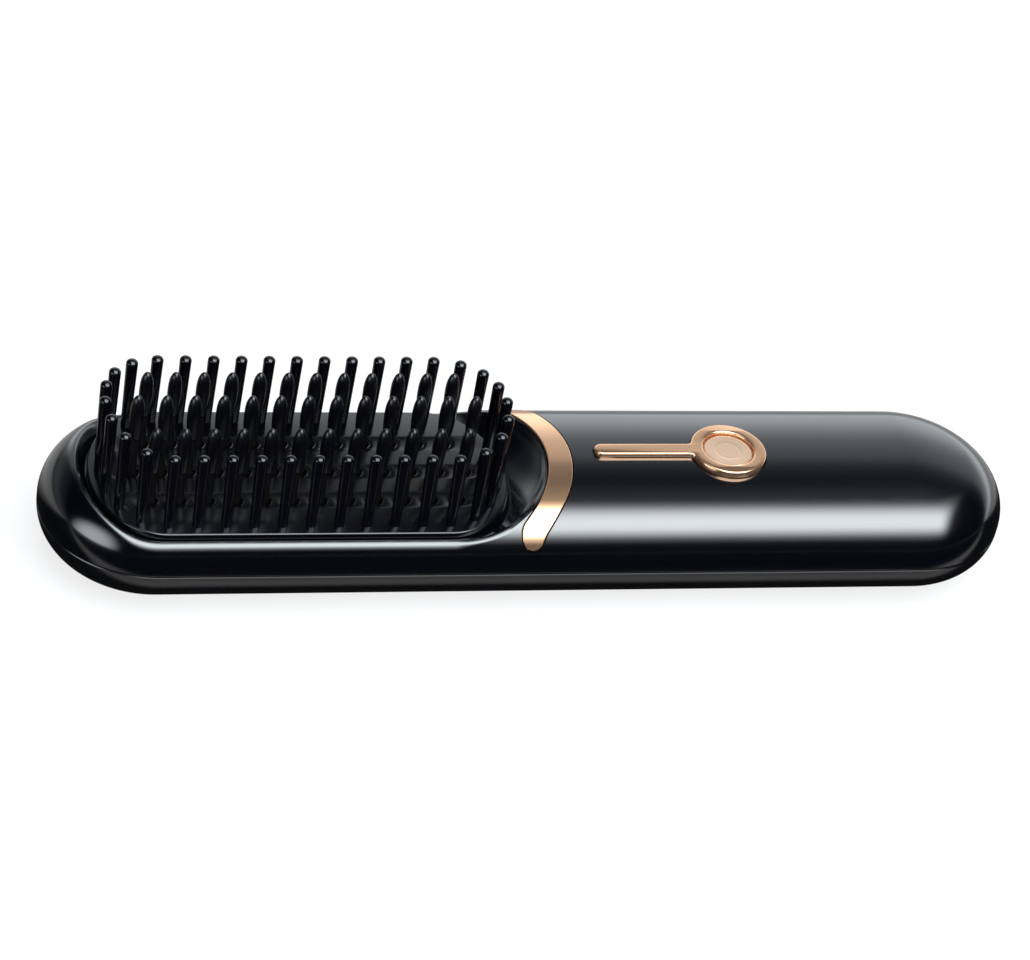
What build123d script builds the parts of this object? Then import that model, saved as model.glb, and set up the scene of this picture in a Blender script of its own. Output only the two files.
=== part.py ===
from build123d import *
from math import atan2, degrees, sqrt
import os

os.makedirs("parts", exist_ok=True)

# All sizes are in millimetres. +X runs from the comb head to the handle's end, +Z up out of the comb,
# and the origin lies under the middle of the body, on the flat it rests on.

# Body form
BODY_LENGTH = 215.9
BODY_WIDTH = 47.8
PARTING_Z = 12.0
CROWN_RISE = 14.0
SHOULDER_RADIUS = 11.8
UPPER_STRAIGHT = 0.93
KEEL_DROP = 15.4
BILGE_RADIUS = 10.4
LOWER_STRAIGHT = 0.055
WALL = 2.0
CEILING_WALL = 3.0
SHOULDER_HOLLOW = ((2.0, 0.0), (7.2, 2.4))
CEILING_INSET = 9.9
BILGE_HOLLOW = ((6.4, 3.0),)
FLOOR_INSET = 8.2

# Joint between the two housings
PARTING_REVEAL = 0.25
LIP_HEIGHT = 1.6
LIP_THICKNESS = 0.9
LIP_CLEARANCE = 0.12

# Comb layout: its rows start from the tip's centre and fill the head up to the neck
HEAD_SETBACK = 1.35
NECK_RUN = 44.0
TOOTH_PITCH = 6.0
PERIMETER_HALF_WIDTH = 17.5
PERIMETER_REACH = 12.8
END_STEPS = 8
INNER_ROW_OFFSET = 9.5
CENTRE_ROW_EXTRA = 3
SIDE_ROW_EXTRA = 2

# Bristle frame and its pins
FRAME_TOP_Z = 20.8
FRAME_THICKNESS = 2.2
FRAME_HALF_WIDTH = 20.6
FRAME_REACH = 15.2
FRAME_EDGE_ROUND = 0.35
PIN_SIDES = 8
PIN_ROOT = 0.3
PIN_FOOT_RADIUS = 1.0
PIN_TOP_RADIUS = 1.22
PIN_TIP_RADIUS = 0.55
PIN_TIP_HEIGHT = 0.9
PIN_CROWN_Z = 40.75
PIN_CROWN_RADIUS = 73.0

# Metal teeth and their caps
TOOTH_SIDES = 8
TOOTH_FOOT_RADIUS = 1.2
TOOTH_TOP_RADIUS = 0.6
TOOTH_HOLE_CLEARANCE = 0.35
CAP_LENGTH = 11.0
CAP_SKIRT_RADIUS = 1.15
CAP_BELLY_RADIUS = 1.5
CAP_BELLY_DEPTH = 5.2
CAP_SHOULDER_RADIUS = 1.08
CAP_SHOULDER_DEPTH = 1.7
CAP_TIP_RADIUS = 0.35
CAP_BORE_DEPTH = 6.0
CAP_BORE_CLEARANCE = 0.05
CAP_CROWN_Z = 41.2
CAP_CROWN_RADIUS = 37.5

# Dish round the comb: rise above its floor, and spread past the opening towards tip, handle and sides
DISH_FLOOR_Z = 20.0
OPENING_GAP = 0.3
DISH_RUNGS = ((0.0, 0.0, 0.0, 0.0), (1.0, 0.7, 2.6, 0.9), (3.0, 1.6, 5.8, 2.6), (6.6, 2.6, 8.2, 4.6))
LEDGE_WIDTH = 1.5
LEDGE_THICKNESS = 2.0
SEAL_THICKNESS = 0.5
SEAL_WIDTH = 0.9
SEAL_INSET = 0.3

# Heating stack under the frame
HEATER_PLATE_GAP = 0.2
HEATER_PLATE_THICKNESS = 2.8
HEATER_PLATE_HALF_WIDTH = 12.6
HEATER_PLATE_REACH = 8.6
HEATER_OVERRUN = 5.0
HEATER_WIDTH = 10.0
HEATER_THICKNESS = 1.3
CLAMP_OVERRUN = 6.0
CLAMP_WIDTH = 18.0
CLAMP_THICKNESS = 0.8
SENSOR_X = 12.0
SENSOR_Y = 7.6
THERMISTOR_RADIUS = 1.2
THERMISTOR_LENGTH = 5.0
FUSE_RADIUS = 1.5
FUSE_LENGTH = 9.0
GROOVE_CLEARANCE = 0.05
PAD_THICKNESS = 2.2
CARRIER_FLOOR = 1.4
CARRIER_WALL = 1.2
CARRIER_GAP = 0.4
CARRIER_SCREW_SETBACK = 8.0
CARRIER_SCREW_Y = 16.6
FRAME_POST_RADIUS = 2.0
FRAME_POST_LENGTH = 3.6
EAR_RADIUS = 2.4
EAR_THICKNESS = 1.4
CARRIER_SCREW_LENGTH = 3.9
HOOK_WIDTH = 5.0
HOOK_THICKNESS = 1.1
HOOK_BARB = 0.7
HOOK_BARB_HEIGHT = 1.0
HOOK_CLEARANCE = 0.15
HOOK_SETBACK = 2.6

# Trim band over the neck, placed from the end of the comb's rows
BAND_OUTER_RADIUS = 30.2
BAND_OUTER_SETBACK = 1.2
BAND_INNER_RADIUS = 27.5
BAND_INNER_SETBACK = 3.8
BAND_PROUD = 0.12
BAND_DEPTH = 1.05
BAND_GAP = 0.14
BAND_END_REACH = 17.5
BAND_END_Z = 19.9
BAND_END_RADIUS = 2.4

# Bezel and power button, placed from the cells' front end
BUTTON_SETBACK = 20.1
BEZEL_TOP_Z = 26.93
BEZEL_RADIUS = 8.44
BEZEL_HOLE_RADIUS = 5.76
BEZEL_GAP = 0.12
BEZEL_ROUND = 0.35
BAR_LENGTH = 30.5
BAR_WIDTH = 3.6
BAR_SEAT_Z = 25.0
PEG_RADIUS = 0.8
PEG_CLEARANCE = 0.05
PEG_LENGTH = 1.6
PEG_SETBACKS = (27.1, 14.1)
BUTTON_WELL_Z = 24.0
BUTTON_GAP = 0.25
BUTTON_RECESS = 0.38
BUTTON_ROUND = 0.3
SWITCH_GAP = 0.05
FLANGE_RADIUS = 6.55
FLANGE_THICKNESS = 0.6
FLANGE_GAP = 0.1
BUTTON_TRAVEL = 0.5
BUTTON_REST_GAP = 0.15
STEM_RADIUS = 1.8
STEM_CLEARANCE = 0.3

# Screws between the housings; small screws, posts and bores are eight-sided
FASTENER_SIDES = 8
TIP_SCREW_REACH = 11.95
NECK_SCREW_LEAD = 13.0
NECK_SCREW_Y = 11.0
TAIL_SCREW_REACH = 7.95
BOSS_RADIUS = 2.8
BOSS_GAP = 0.2
SCREW_SHANK_RADIUS = 1.0
SCREW_SHANK_LENGTH = 11.0
SCREW_HEAD_RADIUS = 1.9
SCREW_HEAD_HEIGHT = 1.4
SCREW_CLEARANCE = 0.2
PILOT_CLEARANCE = 0.02
SCREW_SEAT_Z = 5.0
PLUG_DEPTH = 1.8
PLUG_INSET = 0.15
PLUG_CLEARANCE = 0.05

# Battery pack
CELL_RADIUS = 9.15
CELL_LENGTH = 65.2
CELL_TAIL_REACH = 3.15
CELL_GAP = 0.4
CELL_PAD_THICKNESS = 0.6
CELL_PAD_MARGIN = 0.85
CELL_PAD_INSET = 7.6
TAB_THICKNESS = 0.2
TAB_WIDTH = 7.0
HOLDER_PLATE = 1.2
HOLDER_WIDTH = 32.0
HOLDER_HEIGHT = 13.0
HOLDER_CLEARANCE = 0.1
SPINE_WIDTH = 2.4
SPINE_REACH = 6.3
SPINE_CLEARANCE = 0.3
RIB_GAP = 0.4
RIB_THICKNESS = 1.2
RIB_WIDTH = 24.0
RIB_HEIGHT = 6.0

# Boards and switch, placed from the cells' front end, and the socket from the handle's end
BOARD_LEAD = 16.5
BOARD_LENGTH = 58.5
BOARD_WIDTH = 15.0
BOARD_THICKNESS = 1.0
BOARD_Z = 21.1
BOARD_POST_LAYOUT = ((-3.4, 5.2), (-3.4, -5.2), (38.5, 0.0))
BOARD_POST_RADIUS = 2.2
BOARD_SCREW_LENGTH = 2.6
BOARD_SCREW_RADIUS = 0.8
BOARD_SCREW_HEAD_RADIUS = 1.5
BOARD_SCREW_HEAD = 0.9
BOARD_CHIPS = (
    (-11.8, 2.2, 5.0, 5.0, 0.9),
    (-11.8, -3.6, 4.0, 4.0, 1.0),
    (-6.8, 0.0, 3.0, 5.6, 1.6),
)
SWITCH_SIZE = 5.2
SWITCH_BODY = 0.5
SWITCH_KNOB_RADIUS = 1.2
SWITCH_KNOB = 0.15
SOCKET_WIDTH = 8.94
SOCKET_HEIGHT = 3.26
SOCKET_LENGTH = 7.3
SOCKET_SHELL = 0.3
SOCKET_BACK = 0.8
SOCKET_TONGUE = 0.7
SOCKET_TONGUE_LENGTH = 5.0
SOCKET_SETBACK = 2.35
PORT_CLEARANCE = 0.3
CHARGE_BOARD_SETBACK = 4.95
CHARGE_BOARD_LENGTH = 7.8
CHARGE_BOARD_WIDTH = 15.4
CHARGE_BOARD_THICKNESS = 0.8
CHARGE_SCREW_LENGTH = 5.0
CHARGE_POST_SETBACK = 10.75
CHARGE_POST_Y = 6.2
CHARGE_POST_RADIUS = 1.7

# Port cover on the handle's end
COVER_WIDTH = 15.4
COVER_HEIGHT = 6.2
COVER_DEPTH = 1.2
COVER_CORNER = 2.4
COVER_GAP = 0.35
COVER_SEAT_GAP = 0.15
COVER_LIP_HEIGHT = 0.8
COVER_LIP_PROUD = 0.5
COVER_PAD_WIDTH = 7.4
COVER_PAD_HEIGHT = 1.7
COVER_PAD_DEPTH = 0.4

END_X = (BODY_LENGTH - BODY_WIDTH) / 2
CELL_X = END_X + CELL_TAIL_REACH - CELL_LENGTH / 2
CELL_FRONT_X = CELL_X - CELL_LENGTH / 2
ROW_START_X = HEAD_SETBACK - END_X
ROW_STEPS = int((CELL_FRONT_X - NECK_RUN - ROW_START_X) / TOOTH_PITCH)
ROW_HALF_LENGTH = TOOTH_PITCH * ROW_STEPS / 2
ROW_END_X = ROW_START_X + 2 * ROW_HALF_LENGTH
HEAD_X = ROW_START_X + ROW_HALF_LENGTH
HEATER_LENGTH = 2 * (ROW_HALF_LENGTH + HEATER_OVERRUN)
CLAMP_LENGTH = 2 * (ROW_HALF_LENGTH + CLAMP_OVERRUN)
CARRIER_SCREW_X = ROW_HALF_LENGTH - CARRIER_SCREW_SETBACK
BAND_OUTER_X = ROW_END_X - BAND_OUTER_SETBACK
BAND_INNER_X = ROW_END_X - BAND_INNER_SETBACK
BAND_END_X = ROW_END_X + BAND_END_REACH
BUTTON_X = CELL_FRONT_X + BUTTON_SETBACK
BAR_END_X = BUTTON_X - BAR_LENGTH
NECK_SCREW_X = CELL_FRONT_X - NECK_SCREW_LEAD
HOUSING_SCREW_SPOTS = (
    (-END_X - TIP_SCREW_REACH, 0.0),
    (NECK_SCREW_X, NECK_SCREW_Y),
    (NECK_SCREW_X, -NECK_SCREW_Y),
    (END_X + TAIL_SCREW_REACH, 0.0),
)
BOARD_START_X = CELL_FRONT_X - BOARD_LEAD
BOARD_POST_SPOTS = [(CELL_FRONT_X + x, y) for x, y in BOARD_POST_LAYOUT]
SOCKET_MOUTH_X = BODY_LENGTH / 2 - SOCKET_SETBACK
CHARGE_BOARD_END_X = BODY_LENGTH / 2 - CHARGE_BOARD_SETBACK
CHARGE_POST_X = BODY_LENGTH / 2 - CHARGE_POST_SETBACK
LEDGE_Z = FRAME_TOP_Z - FRAME_THICKNESS - SEAL_THICKNESS
FRAME_UNDER_Z = FRAME_TOP_Z - FRAME_THICKNESS
PLATE_TOP_Z = FRAME_UNDER_Z - HEATER_PLATE_GAP
PLATE_UNDER_Z = PLATE_TOP_Z - HEATER_PLATE_THICKNESS
HEATER_UNDER_Z = PLATE_UNDER_Z - HEATER_THICKNESS
CLAMP_UNDER_Z = HEATER_UNDER_Z - CLAMP_THICKNESS
PAD_UNDER_Z = CLAMP_UNDER_Z - PAD_THICKNESS
CEILING_Z = PARTING_Z + CROWN_RISE - CEILING_WALL
BUTTON_TOP_Z = BEZEL_TOP_Z - BUTTON_RECESS
FLANGE_UNDER_Z = BUTTON_WELL_Z + BUTTON_TRAVEL + BUTTON_REST_GAP
FLANGE_TOP_Z = FLANGE_UNDER_Z + FLANGE_THICKNESS
BOARD_TOP_Z = BOARD_Z + BOARD_THICKNESS
SWITCH_TOP_Z = BOARD_TOP_Z + SWITCH_BODY + SWITCH_KNOB
CELL_Z = WALL + CELL_PAD_THICKNESS + CELL_RADIUS
CELL_Y = CELL_RADIUS + CELL_GAP / 2
CELL_PAD_WIDTH = BODY_WIDTH - 2 * (WALL + FLOOR_INSET + CELL_Y + CELL_PAD_MARGIN)
CELL_PAD_LENGTH = CELL_LENGTH - 2 * CELL_PAD_INSET
SOCKET_UNDER_Z = PARTING_Z - SOCKET_HEIGHT / 2
REACH = BODY_LENGTH


def flank_arcs(height, straight, side_radius):
    """A tangent side arc and top arc that close half the section above a straight run, each as centre,
    radius, start angle and sweep."""
    side_x = BODY_WIDTH / 2 - side_radius
    rise = height - straight
    top_radius = (side_x**2 + rise**2 - side_radius**2) / (2 * (rise - side_radius))
    joint = degrees(atan2(top_radius - rise, side_x))
    side = ((side_x, straight), side_radius, 0, joint)
    top = ((0, height - top_radius), top_radius, joint, 90 - joint)
    return side, top


UPPER_ARCS = flank_arcs(CROWN_RISE, UPPER_STRAIGHT, SHOULDER_RADIUS)
LOWER_ARCS = flank_arcs(KEEL_DROP, LOWER_STRAIGHT, BILGE_RADIUS)


def half_section(inset):
    """Right half of the body's cross-section about the parting line, drawn in from the skin by inset."""
    side = BODY_WIDTH / 2 - inset
    with BuildSketch() as section:
        with BuildLine():
            Line((side, -LOWER_STRAIGHT), (side, UPPER_STRAIGHT))
            for centre, radius, start, turn in UPPER_ARCS:
                CenterArc(centre, radius - inset, start, turn)
            for (x, y), radius, start, turn in LOWER_ARCS:
                CenterArc((x, -y), radius - inset, -start - turn, turn)
            Line((0, inset - KEEL_DROP), (0, CROWN_RISE - inset))
        make_face()
        with Locations((0, inset - PARTING_Z)):
            Rectangle(BODY_WIDTH, KEEL_DROP, align=(Align.MIN, Align.MAX), mode=Mode.SUBTRACT)
    return section.sketch


def section_plane(x):
    """Upright plane across the body at x, centred on the parting line."""
    return Plane(origin=(x, 0, PARTING_Z), x_dir=(0, 1, 0), z_dir=(1, 0, 0))


def body_form(inset):
    """Solid of the whole body's skin, drawn in by inset: a straight middle with revolved ends."""
    half = half_section(inset)
    with BuildPart() as form:
        with BuildSketch(section_plane(-END_X)):
            add(half)
            mirror(about=Plane.YZ)
        extrude(amount=2 * END_X)
        for end, turn in ((END_X, -180), (-END_X, 180)):
            with BuildSketch(section_plane(end)):
                add(half)
            revolve(axis=Axis((end, 0, 0), (0, 0, 1)), revolution_arc=turn)
    return form.part


def body_outline(inset):
    """Level outline of the body at its widest, drawn in by inset."""
    with BuildSketch() as outline:
        SlotOverall(BODY_LENGTH - 2 * inset, BODY_WIDTH - 2 * inset)
    return outline.sketch


def cavity_form():
    """Hollow of the housings: tapered bands between level outlines, with a flat floor and ceiling."""
    upper = ((0, 0), *SHOULDER_HOLLOW, (CEILING_Z - PARTING_Z, CEILING_INSET))
    lower = ((0, 0), *BILGE_HOLLOW, (PARTING_Z - WALL, FLOOR_INSET))
    with BuildPart() as form:
        for side, rungs in ((1, upper), (-1, lower)):
            for rise, inset in rungs:
                with BuildSketch(Plane.XY.offset(PARTING_Z + side * rise)):
                    add(body_outline(WALL + inset))
            loft(ruled=True)
    return form.part


def wall_ring(outer_inset, inner_inset, base_z, top_z):
    """Level ring of wall between two insets of the body's outline."""
    with BuildPart() as form:
        with BuildSketch(Plane.XY.offset(base_z)):
            add(body_outline(outer_inset))
            add(body_outline(inner_inset), mode=Mode.SUBTRACT)
        extrude(amount=top_z - base_z)
    return form.part


def head_plane(z):
    """Level plane at height z, centred on the comb head."""
    return Plane(origin=(HEAD_X, 0, z))


def sensor_plane(x, y, radius):
    """Upright plane across a capsule of that radius lying on the heater clamp."""
    return Plane(origin=(HEAD_X + x, y, HEATER_UNDER_Z + radius), x_dir=(0, 1, 0), z_dir=(1, 0, 0))


def cell_plane(x):
    """Upright plane across the battery at x from its middle."""
    return Plane(origin=(CELL_X + x, 0, CELL_Z), x_dir=(0, 1, 0), z_dir=(1, 0, 0))


def head_arc(end, reach, half_width):
    """Half ellipse that rounds the head's tip end (-1) or handle end (1)."""
    centre = (end * ROW_HALF_LENGTH, 0)
    return EllipticalCenterArc(centre, reach, half_width, start_angle=-90 * end, arc_size=180)


def oval(tip_reach, handle_reach, half_width):
    """Closed head outline: straight sides joined by half ellipses of the given reaches."""
    with BuildSketch() as outline:
        with BuildLine():
            Line((-ROW_HALF_LENGTH, half_width), (ROW_HALF_LENGTH, half_width))
            add(head_arc(1, handle_reach, half_width))
            Line((ROW_HALF_LENGTH, -half_width), (-ROW_HALF_LENGTH, -half_width))
            add(head_arc(-1, tip_reach, half_width))
        make_face()
    return outline.sketch


def frame_oval(grow):
    """Outline of the bristle frame, grown outwards by grow."""
    return oval(FRAME_REACH + grow, FRAME_REACH + grow, FRAME_HALF_WIDTH + grow)


def dish_form(rungs, grow, drop):
    """Scoop through the given rungs of the head's dish, grown outwards and lowered."""
    reach = FRAME_REACH + OPENING_GAP + grow
    side = FRAME_HALF_WIDTH + OPENING_GAP + grow
    outlines = [
        (rise, oval(reach + tip_run, reach + handle_run, side + side_run))
        for rise, tip_run, handle_run, side_run in rungs
    ]
    with BuildPart() as form:
        for rise, outline in outlines:
            with BuildSketch(head_plane(DISH_FLOOR_Z + rise - drop)):
                add(outline)
        loft()
    return form.part


def arch_form(gap):
    """Upright arch between the band's two arcs, with rounded ends low on the flanks, grown by gap."""
    with BuildPart() as form:
        with BuildSketch():
            with Locations((BAND_OUTER_X, 0)):
                Circle(BAND_OUTER_RADIUS + gap)
            with Locations((BAND_INNER_X, 0)):
                Circle(BAND_INNER_RADIUS - gap, mode=Mode.SUBTRACT)
        extrude(amount=2 * BEZEL_TOP_Z)
        with BuildSketch(Plane.XZ.offset(-BODY_WIDTH)):
            with Locations((BAND_END_X, BAND_END_Z)):
                Circle(BAND_END_RADIUS + gap)
            with Locations((BAND_END_X - BAND_END_RADIUS - gap, BAND_END_Z)):
                Rectangle(BODY_WIDTH, BEZEL_TOP_Z, align=(Align.MIN, Align.MIN))
        extrude(amount=2 * BODY_WIDTH, mode=Mode.INTERSECT)
    return form.part


def stud(stations, sides):
    """Faceted stud with flat sides through height and radius stations."""
    rings = [
        [Vector(radius, 0, height).rotate(Axis.Z, 360 * corner / sides) for corner in range(sides)]
        for height, radius in stations
    ]
    walls = [Face(Wire.make_polygon(ring)) for ring in (rings[0], rings[-1])]
    for low, high in zip(rings, rings[1:]):
        walls += [
            Face(Wire.make_polygon((low[corner - 1], low[corner], high[corner], high[corner - 1])))
            for corner in range(sides)
        ]
    return Solid(Shell(walls))


def crown_height(top_z, radius, y):
    """Height of a crowned row of tips at y, from the crown's top and radius."""
    return top_z - radius + sqrt(radius**2 - y**2)


def save(part, name):
    """Label a finished piece and write it to its own file."""
    part.label = name
    export_step(part, f"parts/{name}.step")


skin = body_form(0)
cavity = cavity_form()
dish = dish_form(DISH_RUNGS, 0, 0)
dish_wall = dish_form((DISH_RUNGS[0], DISH_RUNGS[-1]), WALL, DISH_FLOOR_Z - LEDGE_Z + LEDGE_THICKNESS)

# Tooth positions, measured from the middle of the head
row_xs = [TOOTH_PITCH * step - ROW_HALF_LENGTH for step in range(ROW_STEPS + 1)]
perimeter_spots = [Vector(x, side * PERIMETER_HALF_WIDTH) for x in row_xs for side in (-1, 1)]
for end in (-1, 1):
    end_arc = head_arc(end, PERIMETER_REACH, PERIMETER_HALF_WIDTH)
    perimeter_spots += [end_arc @ (step / END_STEPS) for step in range(1, END_STEPS)]
inner_spots = [
    Vector((step - (count - 1) / 2) * TOOTH_PITCH, y)
    for count, y in (
        (ROW_STEPS + CENTRE_ROW_EXTRA, 0),
        (ROW_STEPS + SIDE_ROW_EXTRA, INNER_ROW_OFFSET),
        (ROW_STEPS + SIDE_ROW_EXTRA, -INNER_ROW_OFFSET),
    )
    for step in range(count)
]


def housing_boss(base_z, top_z, bore_radius, spots):
    """Screw bosses between two heights, each with its bore."""
    with BuildPart() as form:
        with BuildSketch(Plane.XY.offset(base_z)):
            with Locations(*spots):
                RegularPolygon(BOSS_RADIUS, FASTENER_SIDES)
                RegularPolygon(bore_radius, FASTENER_SIDES, mode=Mode.SUBTRACT)
        extrude(amount=top_z - base_z)
    return form.part


def end_slot(width, height, corner):
    """Rounded block through the handle's end wall at the parting line."""
    with BuildPart() as form:
        with BuildSketch(section_plane(END_X)):
            RectangleRounded(width, height, corner)
        extrude(amount=BODY_WIDTH)
    return form.part


def end_round(inset):
    """Upright cylinder inside the handle's end, drawn in from its outline by inset."""
    with BuildPart() as form:
        with BuildSketch(Plane(origin=(END_X, 0, 0))):
            Circle(BODY_WIDTH / 2 - inset)
        extrude(amount=2 * PARTING_Z)
    return form.part


def screws(spots, seat_z, head, shank):
    """Pan-head screws seated at seat_z, head and shank each given as radius and signed length."""
    with BuildPart() as form:
        for radius, length in (head, shank):
            with BuildSketch(Plane.XY.offset(seat_z)):
                with Locations(*spots):
                    RegularPolygon(radius, FASTENER_SIDES)
            extrude(amount=length)
    return form.part


# Forms shared by the pieces round each joint
frame_outline = frame_oval(0)
opening_outline = frame_oval(OPENING_GAP)
ledge_outline = frame_oval(-LEDGE_WIDTH)
band_arch = arch_form(0)
band_slot = arch_form(BAND_GAP)
band_bed = body_form(BAND_DEPTH)
band_skin = body_form(-BAND_PROUD)
cover_bed = end_round(COVER_DEPTH + COVER_SEAT_GAP)
cover_back = end_round(COVER_DEPTH)
band_pocket = (skin - band_bed) & band_slot
cover_slot = end_slot(COVER_WIDTH, COVER_HEIGHT, COVER_CORNER) - cover_back
pocket_width = COVER_WIDTH + 2 * COVER_GAP
pocket_height = COVER_HEIGHT + 2 * COVER_GAP
cover_pocket = end_slot(pocket_width, pocket_height, COVER_CORNER + COVER_GAP) - cover_bed
port_hole = end_slot(
    SOCKET_WIDTH + 2 * PORT_CLEARANCE,
    SOCKET_HEIGHT + 2 * PORT_CLEARANCE,
    SOCKET_HEIGHT / 2,
)
tip_screw, neck_screws, tail_screw = (
    HOUSING_SCREW_SPOTS[:1],
    HOUSING_SCREW_SPOTS[1:3],
    HOUSING_SCREW_SPOTS[3:],
)
lip = wall_ring(WALL - LIP_THICKNESS, WALL, PARTING_Z - PARTING_REVEAL, PARTING_Z + LIP_HEIGHT)
lip_rebate = wall_ring(
    WALL - LIP_THICKNESS - LIP_CLEARANCE, WALL, PARTING_Z, PARTING_Z + LIP_HEIGHT + LIP_CLEARANCE
)
screw_bore = SCREW_SHANK_RADIUS + SCREW_CLEARANCE
pilot_bore = SCREW_SHANK_RADIUS + PILOT_CLEARANCE
upper_bosses = housing_boss(PARTING_Z + BOSS_GAP, CEILING_Z, pilot_bore, neck_screws + tail_screw) & skin
tip_boss = housing_boss(PARTING_Z + BOSS_GAP, LEDGE_Z, pilot_bore, tip_screw)

# Upper housing: the moulded shell with the comb's dish, the band's groove and the button well
with BuildPart() as upper_housing:
    add(skin)
    add(cavity, mode=Mode.SUBTRACT)
    add(dish_wall & skin)
    add(upper_bosses)
    with BuildSketch(Plane.XY.offset(BOARD_TOP_Z)):
        with Locations(*BOARD_POST_SPOTS):
            RegularPolygon(BOARD_POST_RADIUS, FASTENER_SIDES)
    extrude(amount=CEILING_Z - BOARD_TOP_Z)
    with BuildSketch(Plane.XY.offset(PARTING_Z)):
        Rectangle(REACH, BODY_WIDTH)
    extrude(amount=-PARTING_Z, mode=Mode.SUBTRACT)
    add(dish, mode=Mode.SUBTRACT)
    with BuildSketch(head_plane(LEDGE_Z)):
        add(opening_outline)
    extrude(amount=FRAME_TOP_Z - LEDGE_Z, mode=Mode.SUBTRACT)
    with BuildSketch(head_plane(PARTING_Z)):
        add(ledge_outline)
    extrude(amount=LEDGE_Z - PARTING_Z, mode=Mode.SUBTRACT)
    add(tip_boss)
    add(band_pocket, mode=Mode.SUBTRACT)
    with BuildSketch(Plane.XY.offset(BUTTON_WELL_Z)):
        with Locations((BUTTON_X, 0)):
            Circle(BEZEL_RADIUS + BEZEL_GAP)
    extrude(amount=BEZEL_TOP_Z, mode=Mode.SUBTRACT)
    with BuildSketch(Plane.XY.offset(BAR_SEAT_Z)):
        with Locations(((BAR_END_X + BUTTON_X) / 2, 0)):
            SlotOverall(BUTTON_X - BAR_END_X + 2 * BEZEL_GAP, BAR_WIDTH + 2 * BEZEL_GAP)
    extrude(amount=BEZEL_TOP_Z, mode=Mode.SUBTRACT)
    with BuildSketch(Plane.XY.offset(CEILING_Z)):
        with Locations(*((BUTTON_X - x, 0) for x in PEG_SETBACKS)):
            Circle(PEG_RADIUS + PEG_CLEARANCE)
    extrude(amount=BAR_SEAT_Z - CEILING_Z, mode=Mode.SUBTRACT)
    with BuildSketch(Plane.XY.offset(BOARD_TOP_Z)):
        with Locations((BUTTON_X, 0)):
            Circle(STEM_RADIUS + STEM_CLEARANCE)
        with Locations(*BOARD_POST_SPOTS):
            RegularPolygon(BOARD_SCREW_RADIUS + PILOT_CLEARANCE, FASTENER_SIDES)
    extrude(amount=BUTTON_WELL_Z - BOARD_TOP_Z, mode=Mode.SUBTRACT)
    add(lip_rebate, mode=Mode.SUBTRACT)
    add(cover_pocket, mode=Mode.SUBTRACT)
    add(port_hole, mode=Mode.SUBTRACT)
save(upper_housing.part, "upper_housing")

holder_run = CELL_LENGTH / 2 + TAB_THICKNESS + HOLDER_CLEARANCE
rib_run = holder_run + HOLDER_PLATE + RIB_GAP + RIB_THICKNESS / 2

# Lower housing: the shell the brush rests on, with its lip, screw bosses and cell cradle
lower_bosses = housing_boss(WALL, PARTING_Z, screw_bore, HOUSING_SCREW_SPOTS)
charge_spots = ((CHARGE_POST_X, CHARGE_POST_Y), (CHARGE_POST_X, -CHARGE_POST_Y))
charge_board_z = SOCKET_UNDER_Z - CHARGE_BOARD_THICKNESS
with BuildPart() as lower_housing:
    add(skin)
    add(cavity, mode=Mode.SUBTRACT)
    with BuildSketch(Plane.XY.offset(PARTING_Z - PARTING_REVEAL)):
        Rectangle(REACH, BODY_WIDTH)
    extrude(amount=BEZEL_TOP_Z, mode=Mode.SUBTRACT)
    add(lip)
    add(lower_bosses)
    with BuildSketch(Plane.XY.offset(WALL)):
        with Locations(*charge_spots):
            RegularPolygon(CHARGE_POST_RADIUS, FASTENER_SIDES)
            RegularPolygon(BOARD_SCREW_RADIUS + PILOT_CLEARANCE, FASTENER_SIDES, mode=Mode.SUBTRACT)
    extrude(amount=charge_board_z - WALL)
    with BuildSketch(Plane.XY.offset(WALL)):
        with Locations(*((CELL_X + end * rib_run, 0) for end in (-1, 1))):
            Rectangle(RIB_THICKNESS, RIB_WIDTH)
    extrude(amount=RIB_HEIGHT)
    with BuildSketch():
        with Locations(*HOUSING_SCREW_SPOTS):
            RegularPolygon(SCREW_HEAD_RADIUS + SCREW_CLEARANCE, FASTENER_SIDES)
    extrude(amount=SCREW_SEAT_Z, mode=Mode.SUBTRACT)
    with BuildSketch():
        with Locations(*HOUSING_SCREW_SPOTS):
            RegularPolygon(screw_bore, FASTENER_SIDES)
    extrude(amount=PARTING_Z, mode=Mode.SUBTRACT)
    add(cover_pocket, mode=Mode.SUBTRACT)
    add(port_hole, mode=Mode.SUBTRACT)
save(lower_housing.part, "lower_housing")

# Trim band: the polished arch that wraps the neck, seated in its groove
with BuildPart() as trim_band:
    add(band_skin)
    add(band_bed, mode=Mode.SUBTRACT)
    add(band_arch, mode=Mode.INTERSECT)
save(trim_band.part, "trim_band")

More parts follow.
